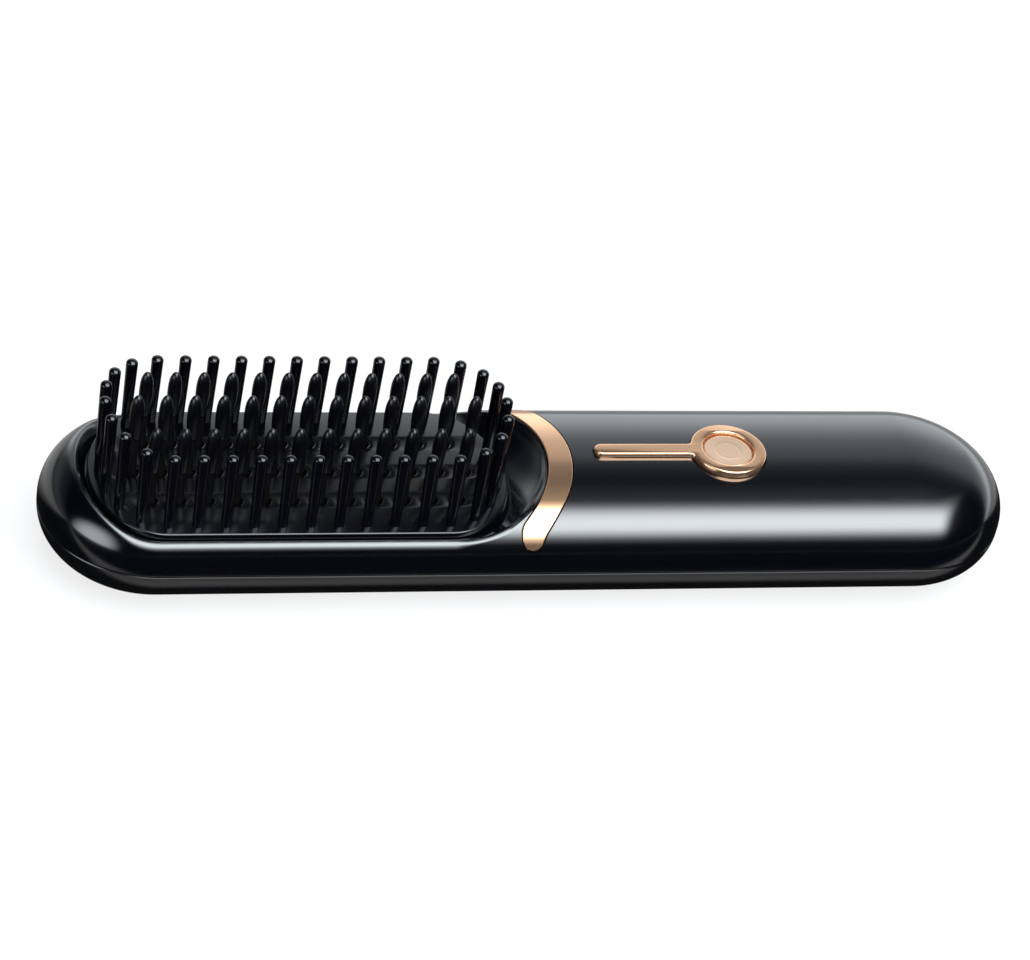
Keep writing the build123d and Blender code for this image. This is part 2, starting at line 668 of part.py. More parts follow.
# Button bezel: a flat ring and bar standing proud of the crown, pegged through the housing
with BuildPart() as button_bezel:
    with BuildSketch(Plane.XY.offset(BUTTON_WELL_Z)):
        with Locations((BUTTON_X, 0)):
            Circle(BEZEL_RADIUS)
    extrude(amount=BEZEL_TOP_Z - BUTTON_WELL_Z)
    with BuildSketch(Plane.XY.offset(BAR_SEAT_Z)):
        with Locations(((BAR_END_X + BUTTON_X) / 2, 0)):
            SlotOverall(BUTTON_X - BAR_END_X, BAR_WIDTH)
    extrude(amount=BEZEL_TOP_Z - BAR_SEAT_Z)
    chamfer(button_bezel.edges().group_by(Axis.Z)[-1], BEZEL_ROUND)
    with BuildSketch(Plane.XY.offset(BUTTON_WELL_Z)):
        with Locations((BUTTON_X, 0)):
            Circle(FLANGE_RADIUS + BUTTON_GAP)
    extrude(amount=FLANGE_TOP_Z + FLANGE_GAP - BUTTON_WELL_Z, mode=Mode.SUBTRACT)
    with BuildSketch(Plane.XY.offset(BUTTON_WELL_Z)):
        with Locations((BUTTON_X, 0)):
            Circle(BEZEL_HOLE_RADIUS)
    extrude(amount=BEZEL_TOP_Z - BUTTON_WELL_Z, mode=Mode.SUBTRACT)
    with BuildSketch(Plane.XY.offset(BAR_SEAT_Z)):
        with Locations(*((BUTTON_X - x, 0) for x in PEG_SETBACKS)):
            Circle(PEG_RADIUS)
    extrude(amount=-PEG_LENGTH)
save(button_bezel.part, "button_bezel")

# Power button: a crowned cap held down by its flange, with a stem over the switch
with BuildPart() as power_button:
    with BuildSketch(Plane.XY.offset(FLANGE_UNDER_Z)):
        with Locations((BUTTON_X, 0)):
            Circle(FLANGE_RADIUS)
    extrude(amount=FLANGE_THICKNESS)
    with BuildSketch(Plane.XY.offset(FLANGE_TOP_Z)):
        with Locations((BUTTON_X, 0)):
            Circle(BEZEL_HOLE_RADIUS - BUTTON_GAP)
    extrude(amount=BUTTON_TOP_Z - FLANGE_TOP_Z)
    chamfer(power_button.edges().group_by(Axis.Z)[-1], BUTTON_ROUND)
    with BuildSketch(Plane.XY.offset(FLANGE_UNDER_Z)):
        with Locations((BUTTON_X, 0)):
            Circle(STEM_RADIUS)
    extrude(amount=SWITCH_TOP_Z + BUTTON_TRAVEL + SWITCH_GAP - FLANGE_UNDER_Z)
save(power_button.part, "power_button")

# Bristle frame: the moulded plate with its ring of pins, posts and hooks
pin_forms = []
for spot in perimeter_spots:
    tip_z = crown_height(PIN_CROWN_Z, PIN_CROWN_RADIUS, spot.Y) - FRAME_TOP_Z
    pin = stud(
        (
            (-PIN_ROOT, PIN_FOOT_RADIUS),
            (tip_z - PIN_TIP_HEIGHT, PIN_TOP_RADIUS),
            (tip_z, PIN_TIP_RADIUS),
        ),
        PIN_SIDES,
    )
    pin_forms.append(Pos(HEAD_X + spot.X, spot.Y, FRAME_TOP_Z) * pin)
frame_posts = [(x * CARRIER_SCREW_X, y * CARRIER_SCREW_Y) for x in (-1, 1) for y in (-1, 1)]
hook_y = FRAME_HALF_WIDTH - LEDGE_WIDTH - HOOK_CLEARANCE
hook_drop = FRAME_UNDER_Z - LEDGE_Z + LEDGE_THICKNESS + HOOK_CLEARANCE
ear_top_z = FRAME_UNDER_Z - FRAME_POST_LENGTH
with BuildPart() as bristle_frame:
    with BuildSketch(head_plane(FRAME_UNDER_Z)):
        add(frame_outline)
    extrude(amount=FRAME_THICKNESS)
    chamfer(bristle_frame.edges().group_by(Axis.Z)[-1], FRAME_EDGE_ROUND)
    add(pin_forms)
    with BuildSketch(head_plane(FRAME_UNDER_Z)):
        with Locations(*frame_posts):
            RegularPolygon(FRAME_POST_RADIUS, FASTENER_SIDES)
            RegularPolygon(BOARD_SCREW_RADIUS + PILOT_CLEARANCE, FASTENER_SIDES, mode=Mode.SUBTRACT)
    extrude(amount=-FRAME_POST_LENGTH)
    with BuildSketch(head_plane(FRAME_UNDER_Z)):
        with Locations(*inner_spots):
            RegularPolygon(TOOTH_FOOT_RADIUS + TOOTH_HOLE_CLEARANCE, TOOTH_SIDES)
    extrude(amount=FRAME_THICKNESS, mode=Mode.SUBTRACT)
    for side in (-1, 1):
        for x in (ROW_START_X + HOOK_SETBACK, HEAD_X, ROW_END_X - HOOK_SETBACK):
            hook_foot = (x, side * hook_y, FRAME_UNDER_Z)
            with BuildSketch(Plane(origin=hook_foot, x_dir=(0, side, 0), z_dir=(side, 0, 0))):
                with BuildLine():
                    Polyline(
                        (0, 0),
                        (-HOOK_THICKNESS, 0),
                        (-HOOK_THICKNESS, -hook_drop - HOOK_BARB_HEIGHT),
                        (0, -hook_drop - HOOK_BARB_HEIGHT),
                        (HOOK_BARB, -hook_drop),
                        (0, -hook_drop),
                        close=True,
                    )
                make_face()
            extrude(amount=HOOK_WIDTH / 2, both=True)
save(bristle_frame.part, "bristle_frame")

# Head seal: a soft ring between the frame and the housing's ledge
with BuildPart() as head_seal:
    with BuildSketch(head_plane(LEDGE_Z)):
        add(frame_oval(-SEAL_INSET))
        add(frame_oval(-SEAL_INSET - SEAL_WIDTH), mode=Mode.SUBTRACT)
    extrude(amount=SEAL_THICKNESS)
save(head_seal.part, "head_seal")

# Plate teeth: tapered metal teeth brazed onto the plate, which stand through the frame
tooth_forms = []
cap_forms = []
for spot in inner_spots:
    tip_z = crown_height(CAP_CROWN_Z, CAP_CROWN_RADIUS, spot.Y) - PLATE_TOP_Z
    skirt_z = tip_z - CAP_LENGTH
    tang_z = skirt_z + CAP_BORE_DEPTH - CAP_BORE_CLEARANCE
    taper = (TOOTH_FOOT_RADIUS - TOOTH_TOP_RADIUS) / tang_z
    tooth_base = Pos(HEAD_X + spot.X, spot.Y, PLATE_TOP_Z)
    tooth = stud(((0, TOOTH_FOOT_RADIUS), (tang_z, TOOTH_TOP_RADIUS)), TOOTH_SIDES)
    cap = stud(
        (
            (skirt_z, CAP_SKIRT_RADIUS),
            (tip_z - CAP_BELLY_DEPTH, CAP_BELLY_RADIUS),
            (tip_z - CAP_SHOULDER_DEPTH, CAP_SHOULDER_RADIUS),
            (tip_z, CAP_TIP_RADIUS),
        ),
        TOOTH_SIDES,
    )
    cap_bore = stud(
        (
            (skirt_z, TOOTH_FOOT_RADIUS - taper * skirt_z + CAP_BORE_CLEARANCE),
            (skirt_z + CAP_BORE_DEPTH, TOOTH_TOP_RADIUS + CAP_BORE_CLEARANCE),
        ),
        TOOTH_SIDES,
    )
    tooth_forms.append(tooth_base * tooth)
    cap_forms.append(tooth_base * (cap - cap_bore))
with BuildPart() as plate_teeth:
    add(tooth_forms)
save(plate_teeth.part, "plate_teeth")

# Heating plate: the slab that carries the teeth, grooved below for its two sensors
plate_outline = oval(HEATER_PLATE_REACH, HEATER_PLATE_REACH, HEATER_PLATE_HALF_WIDTH)
sensors = (
    (SENSOR_X, SENSOR_Y, THERMISTOR_RADIUS, THERMISTOR_LENGTH),
    (-SENSOR_X, -SENSOR_Y, FUSE_RADIUS, FUSE_LENGTH),
)
with BuildPart() as heating_plate:
    with BuildSketch(head_plane(PLATE_UNDER_Z)):
        add(plate_outline)
    extrude(amount=HEATER_PLATE_THICKNESS)
    for x, y, radius, length in sensors:
        with BuildSketch(sensor_plane(x, y, radius)):
            Circle(radius + GROOVE_CLEARANCE)
        extrude(amount=length / 2 + GROOVE_CLEARANCE, both=True, mode=Mode.SUBTRACT)
save(heating_plate.part, "heating_plate")

# Tooth caps: heat-proof sleeves over the ends of the metal teeth
with BuildPart() as tooth_caps:
    add(cap_forms)
save(tooth_caps.part, "tooth_caps")

# Thermistor and thermal fuse: small capsules held in the plate's grooves by the clamp
with BuildPart() as thermistor:
    with BuildSketch(sensor_plane(SENSOR_X, SENSOR_Y, THERMISTOR_RADIUS)):
        Circle(THERMISTOR_RADIUS)
    extrude(amount=THERMISTOR_LENGTH / 2, both=True)
save(thermistor.part, "thermistor")

with BuildPart() as thermal_fuse:
    with BuildSketch(sensor_plane(-SENSOR_X, -SENSOR_Y, FUSE_RADIUS)):
        Circle(FUSE_RADIUS)
    extrude(amount=FUSE_LENGTH / 2, both=True)
save(thermal_fuse.part, "thermal_fuse")

# Heater element: the flat ceramic heater pressed against the plate
with BuildPart() as heater_element:
    with BuildSketch(head_plane(HEATER_UNDER_Z)):
        Rectangle(HEATER_LENGTH, HEATER_WIDTH)
    extrude(amount=HEATER_THICKNESS)
save(heater_element.part, "heater_element")

# Heater clamp: the sheet that spreads the carrier's pressure
with BuildPart() as heater_clamp:
    with BuildSketch(head_plane(CLAMP_UNDER_Z)):
        Rectangle(CLAMP_LENGTH, CLAMP_WIDTH)
    extrude(amount=CLAMP_THICKNESS)
save(heater_clamp.part, "heater_clamp")

# Insulation pad: felt between the hot stack and its carrier
with BuildPart() as insulation_pad:
    with BuildSketch(head_plane(PAD_UNDER_Z)):
        add(plate_outline)
    extrude(amount=PAD_THICKNESS)
save(insulation_pad.part, "insulation_pad")

# Head carrier: the tray that holds the stack up against the frame
carrier_reach = HEATER_PLATE_REACH + CARRIER_GAP
carrier_half_width = HEATER_PLATE_HALF_WIDTH + CARRIER_GAP
carrier_inside = oval(carrier_reach, carrier_reach, carrier_half_width)
carrier_outline = oval(
    carrier_reach + CARRIER_WALL, carrier_reach + CARRIER_WALL, carrier_half_width + CARRIER_WALL
)
with BuildPart() as head_carrier:
    with BuildSketch(head_plane(PAD_UNDER_Z - CARRIER_FLOOR)):
        add(carrier_outline)
    extrude(amount=ear_top_z - PAD_UNDER_Z + CARRIER_FLOOR)
    with BuildSketch(head_plane(ear_top_z - EAR_THICKNESS)):
        for x in (-CARRIER_SCREW_X, CARRIER_SCREW_X):
            with Locations((x, 0)):
                Rectangle(2 * EAR_RADIUS, 2 * (CARRIER_SCREW_Y + EAR_RADIUS))
    extrude(amount=EAR_THICKNESS)
    with BuildSketch(head_plane(ear_top_z - EAR_THICKNESS)):
        with Locations(*frame_posts):
            RegularPolygon(BOARD_SCREW_RADIUS + SCREW_CLEARANCE, FASTENER_SIDES)
    extrude(amount=EAR_THICKNESS, mode=Mode.SUBTRACT)
    with BuildSketch(head_plane(PAD_UNDER_Z)):
        add(carrier_inside)
    extrude(amount=ear_top_z - PAD_UNDER_Z, mode=Mode.SUBTRACT)
save(head_carrier.part, "head_carrier")

# Carrier screws: four pan heads up through the carrier's ears into the frame's posts
carrier_spots = [(HEAD_X + x, y) for x, y in frame_posts]
carrier_screws = screws(
    carrier_spots,
    ear_top_z - EAR_THICKNESS,
    (BOARD_SCREW_HEAD_RADIUS, -BOARD_SCREW_HEAD),
    (BOARD_SCREW_RADIUS, CARRIER_SCREW_LENGTH),
)
save(carrier_screws, "carrier_screws")

# Battery cells: two cylinders side by side in the handle
with BuildPart() as battery_cells:
    with BuildSketch(cell_plane(0)):
        with Locations((-CELL_Y, 0), (CELL_Y, 0)):
            Circle(CELL_RADIUS)
    extrude(amount=CELL_LENGTH / 2, both=True)
save(battery_cells.part, "battery_cells")

# Cell tabs: one strip joins the cells at the head end, one leaves each cell at the other
with BuildPart() as cell_tabs:
    with BuildSketch(cell_plane(-CELL_LENGTH / 2)):
        Rectangle(2 * CELL_Y + TAB_WIDTH, TAB_WIDTH)
    extrude(amount=-TAB_THICKNESS)
    with BuildSketch(cell_plane(CELL_LENGTH / 2)):
        with Locations((-CELL_Y, 0), (CELL_Y, 0)):
            Rectangle(TAB_WIDTH, TAB_WIDTH)
    extrude(amount=TAB_THICKNESS)
save(cell_tabs.part, "cell_tabs")

# Battery pads: foam strips between the cells and the lower housing's floor
with BuildPart() as battery_pads:
    with BuildSketch(Plane(origin=(CELL_X, 0, WALL))):
        with Locations((0, -CELL_Y), (0, CELL_Y)):
            Rectangle(CELL_PAD_LENGTH, CELL_PAD_WIDTH)
    extrude(amount=CELL_PAD_THICKNESS)
save(battery_pads.part, "battery_pads")

# Battery holder: end plates joined by spines that run in the valleys between the cells
with BuildPart() as battery_holder:
    for end in (-1, 1):
        with BuildSketch(cell_plane(end * holder_run)):
            Rectangle(HOLDER_WIDTH, HOLDER_HEIGHT)
        extrude(amount=end * HOLDER_PLATE)
    valley = sqrt(CELL_RADIUS**2 - (CELL_Y - SPINE_WIDTH / 2) ** 2) + SPINE_CLEARANCE
    with BuildSketch(cell_plane(0)):
        with Locations((0, (valley + SPINE_REACH) / 2), (0, -(valley + SPINE_REACH) / 2)):
            Rectangle(SPINE_WIDTH, SPINE_REACH - valley)
    extrude(amount=holder_run, both=True)
save(battery_holder.part, "battery_holder")

# Control board: hung under the crown, below the button
with BuildPart() as control_board:
    with BuildSketch(Plane.XY.offset(BOARD_Z)):
        with Locations((BOARD_START_X + BOARD_LENGTH / 2, 0)):
            Rectangle(BOARD_LENGTH, BOARD_WIDTH)
        with Locations(*BOARD_POST_SPOTS):
            RegularPolygon(BOARD_SCREW_RADIUS + SCREW_CLEARANCE, FASTENER_SIDES, mode=Mode.SUBTRACT)
    extrude(amount=BOARD_THICKNESS)
save(control_board.part, "control_board")

# Board components: chips under the board, ahead of the cells
with BuildPart() as board_components:
    for x, y, length, width, height in BOARD_CHIPS:
        with BuildSketch(Plane(origin=(CELL_FRONT_X + x, y, BOARD_Z))):
            Rectangle(length, width)
        extrude(amount=-height)
save(board_components.part, "board_components")

# Tact switch: under the button's stem
with BuildPart() as tact_switch:
    with BuildSketch(Plane(origin=(BUTTON_X, 0, BOARD_TOP_Z))):
        Rectangle(SWITCH_SIZE, SWITCH_SIZE)
    extrude(amount=SWITCH_BODY)
    with BuildSketch(Plane(origin=(BUTTON_X, 0, BOARD_TOP_Z + SWITCH_BODY))):
        Circle(SWITCH_KNOB_RADIUS)
    extrude(amount=SWITCH_KNOB)
save(tact_switch.part, "tact_switch")

# Charge board: on its posts behind the port
with BuildPart() as charge_board:
    with BuildSketch(Plane(origin=(CHARGE_BOARD_END_X - CHARGE_BOARD_LENGTH / 2, 0, charge_board_z))):
        Rectangle(CHARGE_BOARD_LENGTH, CHARGE_BOARD_WIDTH)
    extrude(amount=CHARGE_BOARD_THICKNESS)
    with BuildSketch(Plane.XY.offset(charge_board_z)):
        with Locations(*charge_spots):
            RegularPolygon(BOARD_SCREW_RADIUS + SCREW_CLEARANCE, FASTENER_SIDES)
    extrude(amount=CHARGE_BOARD_THICKNESS, mode=Mode.SUBTRACT)
save(charge_board.part, "charge_board")

# Board screws: three up through the control board and two down through the charge board
board_screw_forms = screws(
    BOARD_POST_SPOTS,
    BOARD_Z,
    (BOARD_SCREW_HEAD_RADIUS, -BOARD_SCREW_HEAD),
    (BOARD_SCREW_RADIUS, BOARD_SCREW_LENGTH),
)
charge_screw_forms = screws(
    charge_spots,
    SOCKET_UNDER_Z,
    (BOARD_SCREW_HEAD_RADIUS, BOARD_SCREW_HEAD),
    (BOARD_SCREW_RADIUS, -CHARGE_SCREW_LENGTH),
)
with BuildPart() as board_screws:
    add(board_screw_forms)
    add(charge_screw_forms)
save(board_screws.part, "board_screws")

# Charging socket: a rounded metal shell round a flat tongue
socket_mouth = section_plane(SOCKET_MOUTH_X)
socket_inside_width = SOCKET_WIDTH - 2 * SOCKET_SHELL
socket_inside_height = SOCKET_HEIGHT - 2 * SOCKET_SHELL
with BuildPart() as usb_c_socket:
    with BuildSketch(socket_mouth):
        SlotOverall(SOCKET_WIDTH, SOCKET_HEIGHT)
    extrude(amount=-SOCKET_LENGTH)
    with BuildSketch(socket_mouth):
        SlotOverall(socket_inside_width, socket_inside_height)
    extrude(amount=SOCKET_BACK - SOCKET_LENGTH, mode=Mode.SUBTRACT)
    with BuildSketch(socket_mouth.offset(SOCKET_BACK - SOCKET_LENGTH)):
        Rectangle(socket_inside_width - socket_inside_height, SOCKET_TONGUE)
    extrude(amount=SOCKET_TONGUE_LENGTH)
save(usb_c_socket.part, "usb_c_socket")

# Port cover: a soft flap flush with the handle's end, with a finger lip on the parting line
with BuildPart() as port_cover:
    add(skin)
    add(cover_slot, mode=Mode.INTERSECT)
    with BuildSketch(Plane(origin=(END_X, 0, PARTING_Z))):
        Circle(BODY_WIDTH / 2 + COVER_LIP_PROUD)
        Circle(BODY_WIDTH / 2 - COVER_DEPTH / 2, mode=Mode.SUBTRACT)
        with Locations((BODY_WIDTH, 0)):
            Rectangle(2 * BODY_WIDTH, COVER_WIDTH - 2 * COVER_CORNER, mode=Mode.INTERSECT)
    extrude(amount=COVER_LIP_HEIGHT / 2, both=True)
    with BuildSketch(section_plane((BODY_LENGTH - COVER_DEPTH) / 2)):
        Rectangle(COVER_PAD_WIDTH, COVER_PAD_HEIGHT)
    extrude(amount=-COVER_DEPTH / 2 - COVER_PAD_DEPTH)
save(port_cover.part, "port_cover")

# Housing screws: four from below, clamping the housings together
housing_screws = screws(
    HOUSING_SCREW_SPOTS,
    SCREW_SEAT_Z,
    (SCREW_HEAD_RADIUS, -SCREW_HEAD_HEIGHT),
    (SCREW_SHANK_RADIUS, SCREW_SHANK_LENGTH),
)
save(housing_screws, "housing_screws")

# Screw plugs: press-in discs that close the screw wells
with BuildPart() as screw_plugs:
    with BuildSketch(Plane.XY.offset(PLUG_INSET)):
        with Locations(*HOUSING_SCREW_SPOTS):
            RegularPolygon(SCREW_HEAD_RADIUS + SCREW_CLEARANCE - PLUG_CLEARANCE, FASTENER_SIDES)
    extrude(amount=PLUG_DEPTH)
save(screw_plugs.part, "screw_plugs")
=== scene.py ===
"""Looks of a cordless hair straightening brush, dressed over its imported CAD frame."""
import logging
import math
from collections.abc import Callable, Sequence
from dataclasses import dataclass, field
from enum import Enum
from functools import cached_property, partial
from itertools import pairwise

import bmesh
import bpy
import numpy as np
from mathutils import Matrix, Vector


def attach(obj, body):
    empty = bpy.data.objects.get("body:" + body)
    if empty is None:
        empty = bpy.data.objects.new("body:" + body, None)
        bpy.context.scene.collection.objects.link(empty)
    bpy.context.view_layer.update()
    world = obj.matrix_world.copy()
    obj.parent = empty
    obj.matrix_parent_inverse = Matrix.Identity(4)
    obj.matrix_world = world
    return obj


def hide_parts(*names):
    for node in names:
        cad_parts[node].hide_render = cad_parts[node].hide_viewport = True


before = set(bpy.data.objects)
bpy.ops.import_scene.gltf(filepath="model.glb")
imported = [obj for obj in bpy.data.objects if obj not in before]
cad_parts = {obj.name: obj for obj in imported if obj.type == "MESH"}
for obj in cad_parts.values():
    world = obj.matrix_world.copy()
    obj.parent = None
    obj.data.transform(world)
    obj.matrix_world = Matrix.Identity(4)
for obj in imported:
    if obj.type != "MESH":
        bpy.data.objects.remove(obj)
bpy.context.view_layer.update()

log = logging.getLogger("brush")

MM = 0.001
QUARTER = math.pi / 2
TINY = 1e-9
MERGE = 1e-4  # millimetres within which corners are one
ON_SKIN = 0.1  # millimetres within which a corner belongs to the skin
FAR = 9.0  # millimetres, stands for any place well clear of a cut

Point = tuple[float, float]
Triple = tuple[float, float, float]
Four = tuple[float, float, float, float]
EdgeField = Callable[[Vector], float]


class Body(Enum):
    """CAD bodies that the pieces ride on."""

    MAIN = "body"
    BUTTON = "button"


class Slot(Enum):
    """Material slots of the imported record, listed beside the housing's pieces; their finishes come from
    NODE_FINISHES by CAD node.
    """

    SHELL = "shell"
    SHELL_LOWER = "shell_lower"
    GOLD = "gold"
    BUTTON = "button"
    COMB = "comb"
    CAPS = "caps"
    HEATER = "heater"


# Node trees


class Graph:
    """A node tree whose nodes are set and linked as they are added."""

    def __init__(self, tree: bpy.types.NodeTree) -> None:
        """Takes over a tree.

        Args:
            tree: The tree.
        """
        self.tree = tree
        self.entry: bpy.types.Node | None = None
        self.leave: bpy.types.Node | None = None

    @classmethod
    def group(cls, name: str, kind: str, inputs: dict[str, tuple], outputs: dict[str, tuple]) -> "Graph":
        """Starts a node group with named sockets.

        Args:
            name: The group's name.
            kind: The tree's type.
            inputs: For each input its type, and its default where it has one.
            outputs: For each output its type.

        Returns:
            The graph, with the group's input node as entry and its output node as leave.
        """
        graph = cls(bpy.data.node_groups.new(name, kind))
        for way, sockets in (("INPUT", inputs), ("OUTPUT", outputs)):
            for label, (value_type, *default) in sockets.items():
                socket = graph.tree.interface.new_socket(
                    label, in_out=way, socket_type="NodeSocket" + value_type)
                if default:
                    socket.default_value = default[0]
        graph.entry, graph.leave = graph.add("NodeGroupInput"), graph.add("NodeGroupOutput")
        return graph

    def add(
        self, kind: str, feeds: dict[str | int, object] | None = None, **settings: object
    ) -> bpy.types.Node:
        """Adds a node.

        Args:
            kind: The node's type.
            feeds: What goes into its inputs, values or other nodes' sockets.
            settings: The node's own settings, such as its operation.

        Returns:
            The node.
        """
        node = self.tree.nodes.new(kind)
        for name, value in settings.items():
            setattr(node, name, value)
        self.fill(node, feeds or {})
        return node

    def fill(self, node: bpy.types.Node, feeds: dict[str | int, object]) -> None:
        """Sets or links a node's inputs.

        Args:
            node: The node.
            feeds: What goes into its inputs, values or other nodes' sockets.
        """
        for place, value in feeds.items():
            if isinstance(value, bpy.types.NodeSocket):
                self.tree.links.new(value, node.inputs[place])
            else:
                node.inputs[place].default_value = value

    def maths(self, operation: str, *values: object) -> bpy.types.NodeSocket:
        """Adds a maths node on values or sockets and gives its result."""
        return self.add("ShaderNodeMath", dict(enumerate(values)), operation=operation).outputs[0]

    def eased(self, value: bpy.types.NodeSocket, limits: Four) -> bpy.types.NodeSocket:
        """Eases a value that runs between the first two limits, so that it runs between the last two."""
        feeds = dict(zip(("Value", "From Min", "From Max", "To Min", "To Max"), (value, *limits)))
        return self.add("ShaderNodeMapRange", feeds, interpolation_type="SMOOTHSTEP").outputs["Result"]

    def levels(self, place: bpy.types.NodeSocket, table: Sequence[Point]) -> bpy.types.NodeSocket:
        """Reads a level off a table.

        Args:
            place: Where to read.
            table: Places in rising order, each with its level.

        Returns:
            The level.
        """
        low, high = table[0][0], table[-1][0]
        peak = max(level for _, level in table)
        share = self.maths("DIVIDE", self.maths("SUBTRACT", place, low), high - low)
        ramp = self.add("ShaderNodeValToRGB", {"Fac": share})
        stops = ramp.color_ramp.elements
        for spot, _ in table[1:-1]:
            stops.new((spot - low) / (high - low))
        for stop, (_, level) in zip(stops, table):
            stop.color = (level / peak, level / peak, level / peak, 1)
        return self.maths("MULTIPLY", ramp.outputs["Color"], peak)


class ShaderGroups:
    """Effects that several finishes share, each built once as a node group."""

    def __init__(self) -> None:
        """Builds both groups."""
        self.grain = self._build_grain()
        self.tone = self._build_tone()

    @staticmethod
    def _noise(graph: Graph, scale: bpy.types.NodeSocket, detail: float) -> bpy.types.NodeSocket:
        """Adds a noise over the piece.

        Args:
            graph: The tree.
            scale: The noise's scale.
            detail: How many finer layers it has.

        Returns:
            The noise's level.
        """
        place = graph.add("ShaderNodeTexCoord").outputs["Object"]
        feeds = {"Vector": place, "Scale": scale, "Detail": detail}
        return graph.add("ShaderNodeTexNoise", feeds).outputs["Fac"]

    def _build_grain(self) -> bpy.types.NodeTree:
        """Builds the moulded grain, fine height with a roughness that drifts over the surface.

        Returns:
            The group, with outputs Roughness and Height.
        """
        graph = Graph.group(
            "moulded_grain", "ShaderNodeTree",
            {"Roughness": ("Float", 0.3), "Spread": ("Float", 0.04), "Grain Scale": ("Float", 2500.0),
             "Drift Scale": ("Float", 40.0)},
            {"Roughness": ("Float",), "Height": ("Float",)},
        )
        entry = graph.entry.outputs
        drift = graph.maths("SUBTRACT", self._noise(graph, entry["Drift Scale"], 4.0), 0.5)
        spread = graph.maths("MULTIPLY", drift, entry["Spread"])
        graph.fill(graph.leave, {
            "Roughness": graph.maths("ADD", entry["Roughness"], spread),
            "Height": self._noise(graph, entry["Grain Scale"], 3.0),
        })
        return graph.tree

    def _build_tone(self) -> bpy.types.NodeTree:
        """Builds the slow drift of a colour between two tones.

        Returns:
            The group, with the output Colour.
        """
        graph = Graph.group(
            "tone_drift", "ShaderNodeTree",
            {"Colour": ("Color", (0.5, 0.5, 0.5, 1)), "Second Colour": ("Color", (0.4, 0.4, 0.4, 1)),
             "Scale": ("Float", 30.0)},
            {"Colour": ("Color",)},
        )
        entry = graph.entry.outputs
        tones = {0: self._noise(graph, entry["Scale"], 5.0), 6: entry["Colour"], 7: entry["Second Colour"]}
        blend = graph.add("ShaderNodeMix", tones, data_type="RGBA")
        graph.fill(graph.leave, {"Colour": blend.outputs[2]})
        return graph.tree


# Finishes


@dataclass(frozen=True)
class Finish:
    """One surface finish, with its colours, gloss and grain."""

    name: str
    colour: Triple
    second: Triple
    roughness: float
    spread: float = 0.04
    metallic: float = 0.0
    specular: float = 0.5
    coat: float = 0.0
    coat_roughness: float = 0.1
    sheen: float = 0.0
    grain_scale: float = 2500.0
    grain_depth: float = 0.002
    grain_strength: float = 0.4
    tone_scale: float = 30.0

    def build(self, groups: ShaderGroups) -> bpy.types.Material:
        """Builds the node material.

        Args:
            groups: The shared shader groups.

        Returns:
            The material.
        """
        material = bpy.data.materials.new(self.name)
        material.use_nodes = True
        graph = Graph(material.node_tree)
        grain = graph.add("ShaderNodeGroup", {
            "Roughness": self.roughness, "Spread": self.spread, "Grain Scale": self.grain_scale,
        }, node_tree=groups.grain).outputs
        tone = graph.add("ShaderNodeGroup", {
            "Colour": (*self.colour, 1), "Second Colour": (*self.second, 1), "Scale": self.tone_scale,
        }, node_tree=groups.tone).outputs
        bump = graph.add("ShaderNodeBump", {
            "Strength": self.grain_strength, "Distance": self.grain_depth * MM, "Height": grain["Height"],
        }).outputs
        graph.fill(graph.tree.nodes["Principled BSDF"], {
            "Base Color": tone["Colour"], "Roughness": grain["Roughness"], "Normal": bump["Normal"],
            "Metallic": self.metallic, "Specular IOR Level": self.specular, "Coat Weight": self.coat,
            "Coat Roughness": self.coat_roughness, "Sheen Weight": self.sheen,
        })
        return material


LACQUER = Finish(
    "deep_lacquer", (0.0006, 0.0009, 0.002), (0.0009, 0.0012, 0.0026), 0.15, 0.03,
    specular=0.9, coat=0.8, coat_roughness=0.12, grain_depth=0.0012,
)
LACQUER_LOWER = Finish(
    "lower_lacquer", (0.0008, 0.0012, 0.0022), (0.0012, 0.0016, 0.0028), 0.24, 0.03,
    specular=0.9, coat=0.8, coat_roughness=0.12, grain_depth=0.0012,
)
ROSE_GOLD = Finish(
    "rose_gold_plate", (0.95, 0.58, 0.36), (0.9, 0.53, 0.32), 0.11, 0.03,
    metallic=0.9, grain_scale=900.0, grain_depth=0.001, tone_scale=60.0,
)
BUTTON_GOLD = Finish(
    "satin_rose_gold", (0.88, 0.62, 0.44), (0.84, 0.57, 0.39), 0.24, 0.05,
    metallic=0.65, grain_scale=1500.0, tone_scale=90.0,
)
COMB_NYLON = Finish(
    "comb_nylon", (0.001, 0.001, 0.0024), (0.0016, 0.0016, 0.0034), 0.16, 0.05,
    coat=0.2, coat_roughness=0.08, tone_scale=80.0,
)
PLATE_NYLON = Finish(
    "glossy_nylon", (0.0008, 0.0008, 0.0018), (0.0012, 0.0012, 0.0024), 0.17, 0.03,
    specular=0.75, grain_depth=0.0, tone_scale=80.0,
)
CAP_RESIN = Finish(
    "cap_resin", (0.001, 0.001, 0.0024), (0.0016, 0.0016, 0.0034), 0.28, 0.05,
    specular=0.6, coat=0.15, coat_roughness=0.12, tone_scale=90.0,
)
TOOTH_COAT = Finish(
    "tooth_coating", (0.008, 0.0078, 0.009), (0.012, 0.011, 0.012), 0.34, 0.06,
    metallic=0.6, grain_depth=0.003, tone_scale=120.0,
)
SEAL_RUBBER = Finish("seal_rubber", (0.012, 0.012, 0.014), (0.016, 0.016, 0.018), 0.6, 0.06, sheen=0.05)
COVER_RUBBER = Finish(
    "cover_rubber", (0.008, 0.0095, 0.015), (0.01, 0.0115, 0.018), 0.42, 0.05,
    sheen=0.04, grain_depth=0.004,
)
PLUG_RUBBER = Finish("plug_rubber", (0.01, 0.0115, 0.016), (0.013, 0.014, 0.02), 0.5, 0.06, sheen=0.05)
